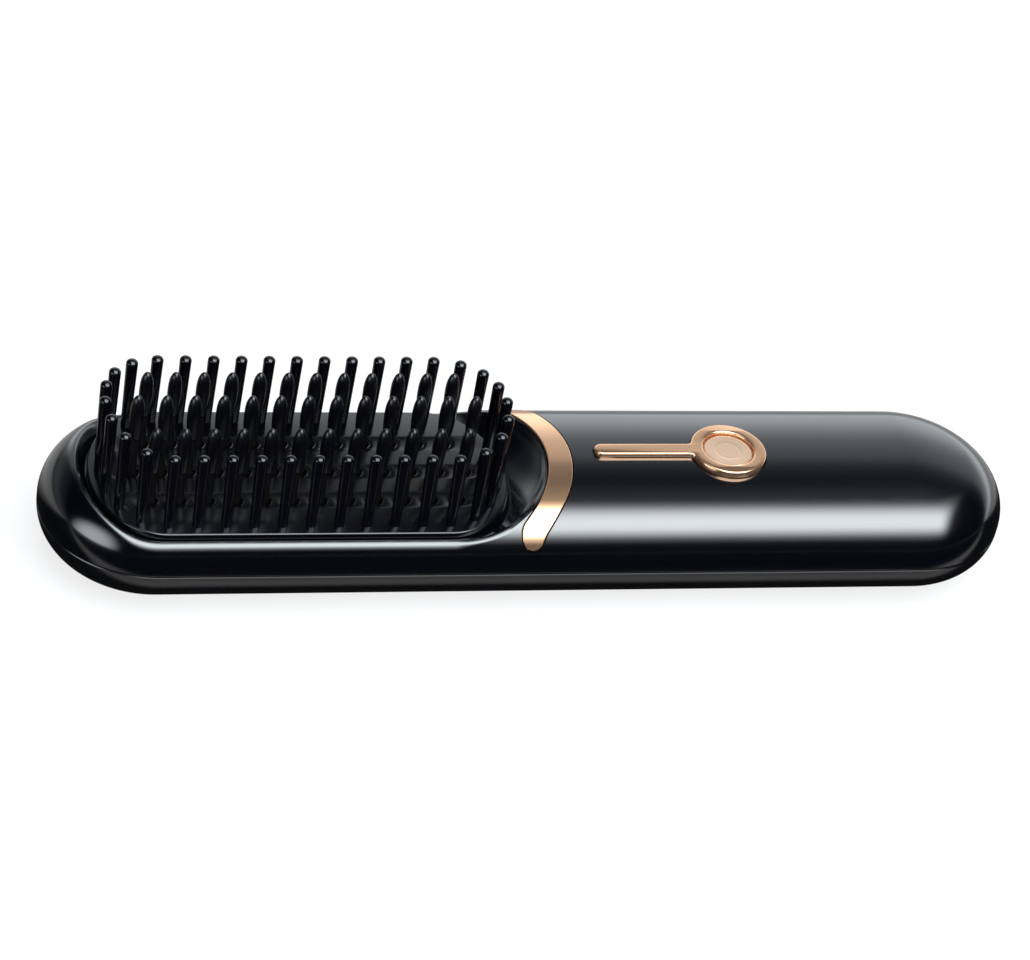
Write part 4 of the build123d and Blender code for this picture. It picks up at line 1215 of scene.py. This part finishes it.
    def mesh(self) -> bpy.types.Mesh:
        """Builds the shell, cuts its recesses and gives it a wall.

        Returns:
            The finished mesh.
        """
        bm = bmesh.new()
        loop_grid(bm, list(zip(*(self._spoke_points(spoke) for spoke in self._spokes()))))
        bmesh.ops.recalc_face_normals(bm, faces=bm.faces)
        if max(bm.faces, key=lambda f: f.calc_center_median().z).normal.z < 0:
            bmesh.ops.reverse_faces(bm, faces=bm.faces)
        forms = (self.band, self.bezel, self.pocket)
        for form in forms:
            refine(bm, form.field)
        for form in forms:
            carve(bm, form.field, form.sunk)
        return finished_mesh("upper_housing", thickened(bm, self.wall), 32, skin=0.0)


@dataclass
class LowerHousing:
    """The shell that the brush rests on, in millimetres."""

    reveal: float = 0.22
    chamfer: Point = (0.14, 0.2)
    lip_inset: float = 1.45
    lip_top: float = 13.6
    lip_gap: float = 9.0
    lip_step: float = 0.001
    hollow: tuple[Point, ...] = ((21.9, 12.0), (18.9, 5.6), (13.7, 2.0))
    wells: tuple[Point, ...] = ((-96.0, 0.0), (9.0, 11.0), (9.0, -11.0), (92.0, 0.0))
    well_radius: float = 2.1
    well_depth: float = 3.6
    well_sides: int = 32
    boss_radius: float = 2.9
    boss_top: float = 4.4
    end_steps: int = 60
    side_steps: int = 60
    arc_steps: int = 16
    belly_steps: int = 8
    pocket: PortPocket = field(default_factory=PortPocket)

    def _loop(self, reach: float, z: float) -> list[Vector]:
        """Gives a level loop round the body.

        Args:
            reach: Its distance from the spine.
            z: Its height.

        Returns:
            The loop's points.
        """
        end = BODY.spine_end
        points = []
        for sign in (1, -1):
            for turn in np.linspace(-90, 90, self.end_steps, endpoint=False):
                way = math.radians(turn)
                points.append(Vector((sign * (end + reach * math.cos(way)), sign * reach * math.sin(way), z)))
            for share in np.linspace(1, -1, self.side_steps, endpoint=False):
                points.append(Vector((sign * share * end, sign * reach, z)))
        return points

    def _floor(self, bm: bmesh.types.BMesh, reach: float, z: float, radius: float, top: float) -> None:
        """Adds a level floor with round wells.

        Args:
            bm: The mesh that receives it.
            reach: The floor's distance from the spine.
            z: Its height.
            radius: Radius of the wells.
            top: Height at which each well is closed.
        """
        edges = []
        rims = [ring(spot, radius, z, self.well_sides) for spot in self.wells]
        for loop in (self._loop(reach, z), *rims):
            verts = [bm.verts.new(point) for point in loop]
            edges += [bm.edges.new((verts[i - 1], verts[i])) for i in range(len(verts))]
        bmesh.ops.triangle_fill(bm, edges=edges, use_beauty=True)
        for spot, rim in zip(self.wells, rims):
            lid = ring(spot, radius, top, self.well_sides)
            loop_grid(bm, (rim, lid))
            bm.faces.new([bm.verts.new(point) for point in lid])

    def _stations(self, flat: float) -> list[Point]:
        """Lists the section from the parting line down to the flat.

        Args:
            flat: Half width of the flat that the brush rests on.

        Returns:
            Reach and drop of each station.
        """
        flank, (inset, drop) = BODY.lower, self.chamfer
        stations = [(BODY.half_width - inset, self.reveal), (BODY.half_width, self.reveal + drop)]
        turns = (flank.joint * step / self.arc_steps for step in range(1, self.arc_steps + 1))
        stations += [flank.side_point(turn)[0] for turn in turns]
        last = stations[-1][0]
        for step in range(1, self.belly_steps):
            reach = last + (flat - last) * step / self.belly_steps
            stations.append((reach, flank.rise(reach)))
        stations.append((flat, BODY.parting))
        return [(reach, max(depth, self.reveal)) for reach, depth in stations]

    def _edge_field(self, point: Vector) -> float:
        """Signed distance to the pocket's edge on the outer skin, negative inside."""
        return self.pocket.field(point) if (BODY.nearest(point)[0] - point).length < ON_SKIN else FAR

    def mesh(self) -> bpy.types.Mesh:
        """Builds the shell with its lip, wells and pocket.

        Returns:
            The finished mesh.
        """
        flank, parting = BODY.lower, BODY.parting
        flat = math.sqrt(flank.top_radius**2 - (flank.top_radius - flank.height + parting) ** 2)
        inner, rim = BODY.half_width - self.lip_inset, parting - self.reveal
        lip = [self._loop(inner, self.lip_top), self._loop(self.hollow[0][0], self.lip_top)]
        for point in (*lip[0], *lip[1]):
            if point.x > self.pocket.near_x and abs(point.y) < self.lip_gap:
                point.z = rim + self.lip_step
        loops = [self._loop(reach, parting - drop) for reach, drop in reversed(self._stations(flat))]
        loops += [self._loop(inner, rim), *lip, *(self._loop(*station) for station in self.hollow)]
        bm = bmesh.new()
        loop_grid(bm, loops)
        self._floor(bm, flat, 0, self.well_radius, self.well_depth)
        self._floor(bm, *self.hollow[-1], self.boss_radius, self.boss_top)
        bmesh.ops.remove_doubles(bm, verts=bm.verts, dist=MERGE)
        bmesh.ops.recalc_face_normals(bm, faces=bm.faces)
        refine(bm, self._edge_field)
        carve(bm, self._edge_field, self.pocket.sunk)
        return finished_mesh("lower_housing", bm, 22, skin=0.0)


@dataclass(frozen=True)
class PortWall:
    """The thin wall behind the port cover, with the socket's hole, in millimetres."""

    half_width: float = 8.6
    half_height: float = 4.1
    hole_half_width: float = 4.77
    hole_half_height: float = 1.93
    inset: float = 1.36
    thickness: float = 0.55
    edge: float = 0.02
    strips: int = 20

    def mesh(self) -> bpy.types.Mesh:
        """Builds the wall as a plate wrapped round the handle's end.

        Returns:
            The finished mesh.
        """
        wide, tall, radius = self.half_width, self.half_height, self.hole_half_height
        straight = self.hole_half_width - radius
        hole = arc((straight, 0), radius, radius, (-QUARTER, QUARTER), 17)
        hole += arc((-straight, 0), radius, radius, (QUARTER, 3 * QUARTER), 17)
        border = [(wide, tall), (-wide, tall), (-wide, -tall), (wide, -tall)]
        bm = outline_plate([border, hole], -self.thickness, 0, self.edge)
        cut_strips(bm, Vector((1, 0, 0)), wide, self.strips)
        for vert in bm.verts:
            across, up, lift = vert.co
            bend = BODY.half_width - self.inset + lift
            vert.co = (BODY.spine_end + math.sqrt(bend**2 - across**2), across, BODY.parting + up)
        return finished_mesh("port_wall", bm, 40)


# Comb and button


def end_spots(reach: float, half_width: float, count: int) -> list[Point]:
    """Spaces points evenly along a half ellipse, without its ends.

    Args:
        reach: The ellipse's half length.
        half_width: Its half width.
        count: Number of equal steps along it.

    Returns:
        The points, from the near side round to the far one.
    """
    fine_steps = 720
    xs, ys = np.array(arc((0, 0), reach, half_width, (-QUARTER, QUARTER), fine_steps + 1)).T
    run = np.concatenate([[0.0], np.cumsum(np.hypot(np.diff(xs), np.diff(ys)))])
    marks = run[-1] * np.arange(1, count) / count
    return list(zip(np.interp(marks, run, xs).tolist(), np.interp(marks, run, ys).tolist()))


@dataclass(frozen=True)
class Stud:
    """One kind of turned stud, as stations of radius and height in millimetres."""

    name: str
    stations: tuple[Point, ...]
    sides: int
    crease: float = 50.0

    @property
    def length(self) -> float:
        """Height of the last station."""
        return self.stations[-1][1]

    @property
    def girth(self) -> float:
        """Widest radius."""
        return max(radius for radius, _ in self.stations)

    @staticmethod
    def _profile(
        graph: Graph, share: bpy.types.NodeSocket, values: Sequence[float]
    ) -> bpy.types.NodeSocket:
        """Reads evenly spaced values that are joined by straight lines.

        Args:
            graph: The tree.
            share: Where to read, from 0 to 1.
            values: Values from 0 to 1.

        Returns:
            The value read.
        """
        node = graph.add("ShaderNodeFloatCurve", {"Value": share})
        curve, last = node.mapping.curves[0], len(values) - 1
        curve.points[0].location = (0, values[0])
        curve.points[1].location = (1, values[-1])
        for step in range(1, last):
            curve.points.new(step / last, values[step])
        for point in curve.points:
            point.handle_type = "VECTOR"
        node.mapping.update()
        return node.outputs[0]

    def tree(self) -> bpy.types.NodeTree:
        """Builds the geometry tree that stands a stud on every point, as its attributes stretch and lean it.

        Returns:
            The tree, with inputs Length, Girth, Sides and Finish.
        """
        graph = Graph.group(
            self.name, "GeometryNodeTree",
            {"Geometry": ("Geometry",), "Length": ("Float",), "Girth": ("Float",), "Sides": ("Int",),
             "Finish": ("Material",)},
            {"Geometry": ("Geometry",)},
        )
        entry, count = graph.entry.outputs, len(self.stations)
        index = graph.add("GeometryNodeSplineParameter").outputs["Index"]
        share = graph.maths("DIVIDE", index, count - 1)
        rise = self._profile(graph, share, [height / self.length for _, height in self.stations])
        swell = self._profile(graph, share, [radius / self.girth for radius, _ in self.stations])
        upright = graph.add("ShaderNodeCombineXYZ", {"Z": graph.maths("MULTIPLY", rise, entry["Length"])})
        line = graph.add("GeometryNodeCurvePrimitiveLine")
        line = graph.add("GeometryNodeResampleCurve", {"Curve": line.outputs["Curve"], "Count": count})
        line = graph.add("GeometryNodeSetPosition", {
            "Geometry": line.outputs["Curve"], "Position": upright.outputs[0],
        })
        rim = graph.add("GeometryNodeCurvePrimitiveCircle", {"Resolution": entry["Sides"], "Radius": 1.0})
        tube = graph.add("GeometryNodeCurveToMesh", {
            "Curve": line.outputs["Geometry"], "Profile Curve": rim.outputs["Curve"],
            "Scale": graph.maths("MULTIPLY", swell, entry["Girth"]), "Fill Caps": True,
        })
        stretch = graph.add("GeometryNodeInputNamedAttribute", {"Name": "stretch"}, data_type="FLOAT")
        lean = graph.add("GeometryNodeInputNamedAttribute", {"Name": "lean"}, data_type="FLOAT_VECTOR")
        size = graph.add("ShaderNodeCombineXYZ", {"X": 1.0, "Y": 1.0, "Z": stretch.outputs["Attribute"]})
        stand = graph.add("GeometryNodeInstanceOnPoints", {
            "Points": entry["Geometry"], "Instance": tube.outputs["Mesh"], "Scale": size.outputs[0],
            "Rotation": lean.outputs["Attribute"],
        })
        real = graph.add("GeometryNodeRealizeInstances", {"Geometry": stand.outputs["Instances"]})
        finish = graph.add("GeometryNodeSetMaterial", {
            "Geometry": real.outputs["Geometry"], "Material": entry["Finish"],
        })
        graph.fill(graph.leave, {"Geometry": finish.outputs["Geometry"]})
        return graph.tree

    def stand(
        self, feet: Sequence[Triple], tips: Sequence[float], finish: bpy.types.Material, lean: float = 0.0
    ) -> bpy.types.Mesh:
        """Stands the studs on their feet.

        Args:
            feet: The foot of each stud, in millimetres.
            tips: The height of each stud's tip.
            finish: The studs' material.
            lean: Inward lean in radians for each millimetre that a foot lies off the middle.

        Returns:
            One plain mesh of all the studs, in metres.
        """
        points = bpy.data.meshes.new(self.name)
        points.from_pydata([tuple(c * MM for c in foot) for foot in feet], [], [])
        stretch = points.attributes.new("stretch", "FLOAT", "POINT")
        stretch.data.foreach_set("value", [(tip - foot[2]) / self.length for foot, tip in zip(feet, tips)])
        turns = points.attributes.new("lean", "FLOAT_VECTOR", "POINT")
        turns.data.foreach_set("vector", [value for foot in feet for value in (lean * foot[1], 0.0, 0.0)])
        holder = bpy.data.objects.new(self.name, points)
        modifier = holder.modifiers.new("studs", "NODES")
        modifier.node_group = self.tree()
        values = {
            "Length": self.length * MM, "Girth": self.girth * MM, "Sides": self.sides, "Finish": finish,
        }
        for item in modifier.node_group.interface.items_tree:
            if item.in_out == "INPUT" and item.name in values:
                modifier[item.identifier] = values[item.name]
        mesh = applied(holder)
        mesh.shade_smooth()
        mesh.set_sharp_from_angle(angle=math.radians(self.crease))
        return mesh


def dome(
    foot: Sequence[Point], radius: float, height: float, dome_height: float, steps: int,
    fullness: float = 2.0,
) -> tuple[Point, ...]:
    """Adds a rounded tip to a stud's stations.

    Args:
        foot: Stations below the tip.
        radius: Radius where the dome starts.
        height: Height of the very top.
        dome_height: Height of the dome alone.
        steps: Rings of the dome.
        fullness: Two makes it an ellipse, and more makes it blunter.

    Returns:
        All the stations, up to the small flat that closes the tip.
    """
    flat = 0.04
    shares = np.sin(np.linspace(0, QUARTER - flat, steps))
    rings = [
        (radius * math.sqrt(1 - share**fullness), height - dome_height * (1 - share))
        for share in shares
    ]
    return (*foot, *rings)


@dataclass
class Comb:
    """The heated comb: a moulded plate with its ring of pins, and the capped teeth inside it."""

    row_start: float = -82.7
    row_end: float = -22.7
    pitch: float = 6.0
    centre: float = -52.7
    plate_low: float = 18.6
    plate_high: float = 20.8
    plate_reach: float = 15.2
    plate_half_width: float = 20.6
    plate_edge: float = 0.4
    hole_radius: float = 1.55
    hole_sides: int = 20
    pin_reach: float = 12.8
    pin_half_width: float = 17.5
    end_steps: int = 8
    pin_crown: Point = (40.75, 73.0)
    pin_lean: float = 0.0026
    heater_top: float = 18.4
    inner_rows: tuple[tuple[int, float], ...] = ((13, 0.0), (12, 9.5), (12, -9.5))
    cap_skirt: tuple[Point, ...] = ((0.98, 0.0), (1.13, 0.1), (1.17, 0.3))
    cap_radius: float = 1.5
    cap_swell: float = 1.5
    cap_length: float = 11.0
    cap_belly_depth: float = 5.2
    cap_fullness: float = 2.7
    cap_rings: int = 12
    cap_crown: Point = (41.2, 37.5)
    cap_sides: int = 18
    tooth_reach: float = 5.95
    pin: Stud = Stud("outer_pins", dome(((1.08, 0.0), (1.08, 0.5), (1.19, 9.0)), 1.3, 19.95, 1.05, 8), 18)
    tooth: Stud = Stud("heated_teeth", ((1.2, 0.0), (0.62, 17.6), (0.5, 17.75)), 16)

    @property
    def inner_spots(self) -> list[Point]:
        """Places of the heated teeth.

        Returns:
            The places, row by row.
        """
        return [
            (self.centre + (step - (count - 1) / 2) * self.pitch, y)
            for count, y in self.inner_rows for step in range(count)
        ]

    @property
    def outer_spots(self) -> list[Point]:
        """Places of the plain pins.

        Returns:
            The places, the two long rows first.
        """
        spots = [
            (x, y) for x in np.arange(self.row_start, self.row_end + 1, self.pitch)
            for y in (-self.pin_half_width, self.pin_half_width)
        ]
        ends = end_spots(self.pin_reach, self.pin_half_width, self.end_steps)
        for sign, x in ((1, self.row_end), (-1, self.row_start)):
            spots += [(x + sign * along, y) for along, y in ends]
        return spots

    @property
    def cap(self) -> Stud:
        """Form of the caps, a narrow skirt that swells to a belly and closes to a round tip.

        Returns:
            The caps as one kind of stud.
        """
        narrow, low = self.cap_skirt[-1]
        rise = self.cap_length - self.cap_belly_depth - low
        swell = [
            (narrow + (self.cap_radius - narrow) * math.sin(QUARTER * t) ** self.cap_swell, low + rise * t)
            for t in (0.25, 0.5, 0.75)
        ]
        stations = dome(
            (*self.cap_skirt, *swell), self.cap_radius, self.cap_length, self.cap_belly_depth,
            self.cap_rings, self.cap_fullness)
        return Stud("tooth_caps", stations, self.cap_sides)

    @staticmethod
    def tips(crown: Point, spots: Sequence[Point]) -> list[float]:
        """Gives the tips' heights under a crown, a height and a radius, that curves across the comb."""
        top, radius = crown
        return [top - radius + math.sqrt(radius**2 - y**2) for _, y in spots]

    def plate(self) -> bpy.types.Mesh:
        """Builds the plate with a round hole for each heated tooth.

        Returns:
            The finished mesh.
        """
        reach, half = self.plate_reach, self.plate_half_width
        outline = arc((self.row_end, 0), reach, half, (-QUARTER, QUARTER), 49)
        outline += arc((self.row_start, 0), reach, half, (QUARTER, 3 * QUARTER), 49)
        holes = [circle(spot, self.hole_radius, self.hole_sides) for spot in self.inner_spots]
        bm = outline_plate([outline, *holes], self.plate_low, self.plate_high, self.plate_edge)
        return finished_mesh("comb_plate", bm, 40)

    def build(self, wardrobe: Wardrobe) -> None:
        """Makes the comb's pieces.

        Args:
            wardrobe: Gives their finishes.
        """
        inner, outer = self.inner_spots, self.outer_spots
        nylon, resin, coat = (wardrobe.material(finish) for finish in (COMB_NYLON, CAP_RESIN, TOOTH_COAT))
        tops = self.tips(self.cap_crown, inner)
        bases = [top - self.cap_length for top in tops]
        plate = self.plate()
        plate.materials.append(wardrobe.material(PLATE_NYLON))
        pins = self.pin.stand(
            [(*spot, self.plate_high) for spot in outer], self.tips(self.pin_crown, outer), nylon,
            self.pin_lean)
        teeth = self.tooth.stand(
            [(*spot, self.heater_top) for spot in inner], [base + self.tooth_reach for base in bases], coat)
        caps = self.cap.stand([(*spot, base) for spot, base in zip(inner, bases)], tops, resin)
        add_piece("comb_plate", plate, Body.MAIN, "bristle_frame")
        add_piece("outer_pins", pins, Body.MAIN, "bristle_frame")
        add_piece("heated_teeth", teeth, Body.MAIN, "plate_teeth")
        add_piece("tooth_caps_turned", caps, Body.MAIN, "tooth_caps")


@dataclass(frozen=True)
class PowerButton:
    """The button's cap with its fine ring groove, in millimetres."""

    centre: float = 42.1
    radius: float = 5.4
    top: float = 26.5
    flange_radius: float = 6.4
    flange_top: float = 25.25
    flange_under: float = 24.65
    stem_radius: float = 1.6
    stem_low: float = 22.6
    edge: float = 0.35
    edge_steps: int = 7
    dish: float = 0.1
    groove_radius: float = 2.6
    groove_depth: float = 0.02
    groove: tuple[Point, ...] = ((0.2, 0.0), (0.12, 0.7), (0.0, 1.0), (-0.12, 0.7), (-0.2, 0.0))
    outer_shares: tuple[float, ...] = (0.92, 0.84, 0.76)
    inner_shares: tuple[float, ...] = (0.45, 0.3, 0.15, 0.0)
    sides: int = 72

    def _dished(self, share: float, drop: float = 0.0) -> Point:
        """Gives the dish's station at a share of its radius, with a drop below it."""
        return (self.radius - self.edge) * share, self.top - self.dish + self.dish * share**2 - drop

    def mesh(self) -> bpy.types.Mesh:
        """Builds the cap by turning its profile.

        Returns:
            The finished mesh.
        """
        inner = self.radius - self.edge
        profile = [
            (0.0, self.stem_low), (self.stem_radius, self.stem_low), (self.stem_radius, self.flange_under),
            (self.flange_radius, self.flange_under), (self.flange_radius, self.flange_top),
            (self.radius, self.flange_top),
        ]
        profile += arc((inner, self.top - self.edge), self.edge, self.edge, (0, QUARTER), self.edge_steps)
        profile += [self._dished(share) for share in self.outer_shares]
        profile += [
            self._dished((self.groove_radius + offset) / inner, self.groove_depth * drop)
            for offset, drop in self.groove
        ]
        profile += [self._dished(share) for share in self.inner_shares]
        bm = bmesh.new()
        loop_grid(bm, [ring((self.centre, 0), radius, height, self.sides) for radius, height in profile])
        return finished_mesh("button_cap", bm, 40)


@dataclass
class Housing:
    """The moulded body with its trim, all that the hand touches."""

    upper: UpperHousing = field(default_factory=UpperHousing)
    lower: LowerHousing = field(default_factory=LowerHousing)
    wall: PortWall = field(default_factory=PortWall)
    button: PowerButton = field(default_factory=PowerButton)

    def build(self, wardrobe: Wardrobe) -> None:
        """Makes the housing's pieces.

        Args:
            wardrobe: Gives their finishes.
        """
        for name, form, body, slot, node in (
            ("housing_top", self.upper, Body.MAIN, Slot.SHELL, "upper_housing"),
            ("housing_base", self.lower, Body.MAIN, Slot.SHELL_LOWER, "lower_housing"),
            ("port_wall", self.wall, Body.MAIN, Slot.SHELL, "upper_housing"),
            ("neck_band", self.upper.band, Body.MAIN, Slot.GOLD, "trim_band"),
            ("ring_and_bar", self.upper.bezel, Body.MAIN, Slot.GOLD, "button_bezel"),
            ("button_cap", self.button, Body.BUTTON, Slot.BUTTON, "power_button"),
        ):
            wardrobe.dress(add_piece(name, form.mesh(), body, node), NODE_FINISHES[node])


# Studio


@dataclass(frozen=True)
class Studio:
    """Camera, floor and world light of the photograph, in metres and degrees."""

    azimuth: float = -17.96
    elevation: float = 38.23
    roll: float = 11.18
    distance: float = 0.72028
    target: Triple = (-0.00482, 0.0, 0.01824)
    focal_px: float = 3311.3
    image_width: float = 1030.0
    sensor: float = 36.0
    clip: Point = (0.01, 20.0)
    tint: Four = (0.9, 0.96, 1.0, 1.0)
    room: tuple[Point, ...] = (
        (0.0, 0.6), (7.0, 1.2), (12.0, 1.7), (20.0, 1.45), (26.0, 0.95), (32.0, 0.6), (42.0, 0.42),
        (46.0, 0.14), (52.0, 0.05), (58.0, 0.03), (66.0, 0.005), (180.0, 0.005),
    )
    room_edge: Four = (-0.5, -0.1, 0.12, 1.0)
    card: tuple[Point, ...] = (
        (0.0, 0.0), (56.0, 0.0), (63.0, 0.18), (74.0, 0.9), (84.0, 2.5), (90.0, 4.2), (103.0, 6.9),
        (116.0, 8.0), (129.0, 7.4), (140.0, 3.9), (150.0, 0.9), (160.0, 0.03), (180.0, 0.0),
    )
    card_left: Four = (-0.36, -0.14, 0.0, 1.0)
    card_right: Four = (0.52, 0.7, 1.0, 0.0)
    spot: Triple = (-0.87, -0.5, 0.1)
    spot_edge: Four = (0.88, 0.999, 0.0, 3.4)
    floor_half: float = 3.0
    floor_drop: float = 0.0002
    floor_colour: Four = (0.85, 0.85, 0.86, 1)
    floor_roughness: float = 0.9
    floor_white: float = 0.8
    # Painted reflection: glow that only gloss sees, by place across the floor, for the sheen in the body's
    # lower flank.
    floor_painted_glow: tuple[Point, ...] = (
        (-0.06, 0.01), (-0.0375, 0.01), (-0.0335, 0.33), (-0.0285, 0.33), (-0.025, 0.01), (0.02, 0.01),
        (0.045, 0.45), (0.06, 0.45),
    )

    def build(self) -> None:
        """Builds the whole stage."""
        self._camera()
        self._floor()
        self._world()
        bpy.context.scene.view_settings.view_transform = "Standard"

    def _camera(self) -> None:
        """Places the camera at the photograph's viewing angle."""
        a, e, r = (math.radians(v) for v in (self.azimuth, self.elevation, self.roll))
        back = Vector((math.sin(a) * math.cos(e), -math.cos(a) * math.cos(e), math.sin(e)))
        level = Vector((math.cos(a), math.sin(a), 0))
        upright = back.cross(level)
        right = math.cos(r) * level + math.sin(r) * upright
        up = -math.sin(r) * level + math.cos(r) * upright
        data = bpy.data.cameras.new("photo_camera")
        data.sensor_width = self.sensor
        data.lens = self.focal_px / self.image_width * self.sensor
        data.clip_start, data.clip_end = self.clip
        camera = bpy.data.objects.new("photo_camera", data)
        bpy.context.scene.collection.objects.link(camera)
        place = Vector(self.target) + back * self.distance
        camera.matrix_world = Matrix.Translation(place) @ Matrix((right, up, back)).transposed().to_4x4()
        bpy.context.scene.camera = camera

    def _floor(self) -> None:
        """Lays a plain pale floor that keeps a soft shadow.

        Gloss sees it glow at levels set for places across the brush, which paints reflections into the body's
        lower flank; the camera sees it near white.
        """
        mesh, half = bpy.data.meshes.new("floor"), self.floor_half
        corners = [(-half, -half, 0), (half, -half, 0), (half, half, 0), (-half, half, 0)]
        mesh.from_pydata(corners, [], [(0, 1, 2, 3)])
        floor = bpy.data.objects.new("floor", mesh)
        floor.location.z = -self.floor_drop
        bpy.context.scene.collection.objects.link(floor)
        material = bpy.data.materials.new("pale_floor")
        material.use_nodes = True
        mesh.materials.append(material)
        graph = Graph(material.node_tree)
        pale = graph.tree.nodes["Principled BSDF"]
        graph.fill(pale, {"Base Color": self.floor_colour, "Roughness": self.floor_roughness})
        place = graph.add("ShaderNodeTexCoord").outputs["Object"]
        across = graph.add("ShaderNodeSeparateXYZ", {0: place}).outputs["Y"]
        path = graph.add("ShaderNodeLightPath").outputs
        camera, gloss = path["Is Camera Ray"], path["Is Glossy Ray"]
        # Painted reflection: glossy rays see the floor glow in bands across the brush, though no lamp is
        # there.
        level = graph.maths("MULTIPLY_ADD", gloss, graph.levels(across, self.floor_painted_glow), camera)
        glow = graph.add("ShaderNodeEmission", {"Strength": level})
        seen = graph.maths("MAXIMUM", graph.maths("MULTIPLY", camera, self.floor_white), gloss)
        mix = graph.add("ShaderNodeMixShader", {0: seen, 1: pale.outputs[0], 2: glow.outputs[0]})
        graph.fill(graph.tree.nodes["Material Output"], {"Surface": mix.outputs[0]})

    def _world(self) -> None:
        """Lights the room, and shows it white to the camera.

        The room's light falls off from the far horizon to the zenith. A soft-edged card hangs over the
        near side, and a soft spot shines on the head's end. The levels' places are angles from the far
        horizon over the zenith to the near one.
        """
        world = bpy.data.worlds.new("studio")
        bpy.context.scene.world = world
        world.use_nodes = True
        graph = Graph(world.node_tree)
        place = graph.add("ShaderNodeTexCoord").outputs["Generated"]
        axes = graph.add("ShaderNodeSeparateXYZ", {0: place}).outputs
        toward = {0: place, 1: Vector(self.spot).normalized()}
        aim = graph.add("ShaderNodeVectorMath", toward, operation="DOT_PRODUCT").outputs["Value"]
        angle = graph.maths("MULTIPLY", graph.maths("ARCTAN2", axes["Z"], axes["Y"]), math.degrees(1))
        edges = (self.room_edge, self.card_left, self.card_right)
        sides = [graph.eased(axes["X"], limits) for limits in edges]
        room = graph.maths("MULTIPLY", graph.levels(angle, self.room), sides[0])
        window = graph.maths("MULTIPLY", sides[1], sides[2])
        card = graph.maths("MULTIPLY", graph.levels(angle, self.card), window)
        light = graph.maths("ADD", graph.maths("ADD", room, card), graph.eased(aim, self.spot_edge))
        lit = graph.tree.nodes["Background"]
        graph.fill(lit, {"Color": self.tint, "Strength": light})
        white = graph.add("ShaderNodeBackground", {"Color": (1, 1, 1, 1)})
        camera = graph.add("ShaderNodeLightPath").outputs["Is Camera Ray"]
        mix = graph.add("ShaderNodeMixShader", {0: camera, 1: lit.outputs[0], 2: white.outputs[0]})
        graph.fill(graph.tree.nodes["World Output"], {"Surface": mix.outputs[0]})


def main() -> None:
    """Builds the studio and every piece in order."""
    logging.basicConfig(level=logging.INFO, format="%(message)s")
    Studio().build()
    wardrobe = Wardrobe()
    wardrobe.dress_nodes()
    Comb().build(wardrobe)
    Housing().build(wardrobe)


if __name__ == "__main__":
    main()
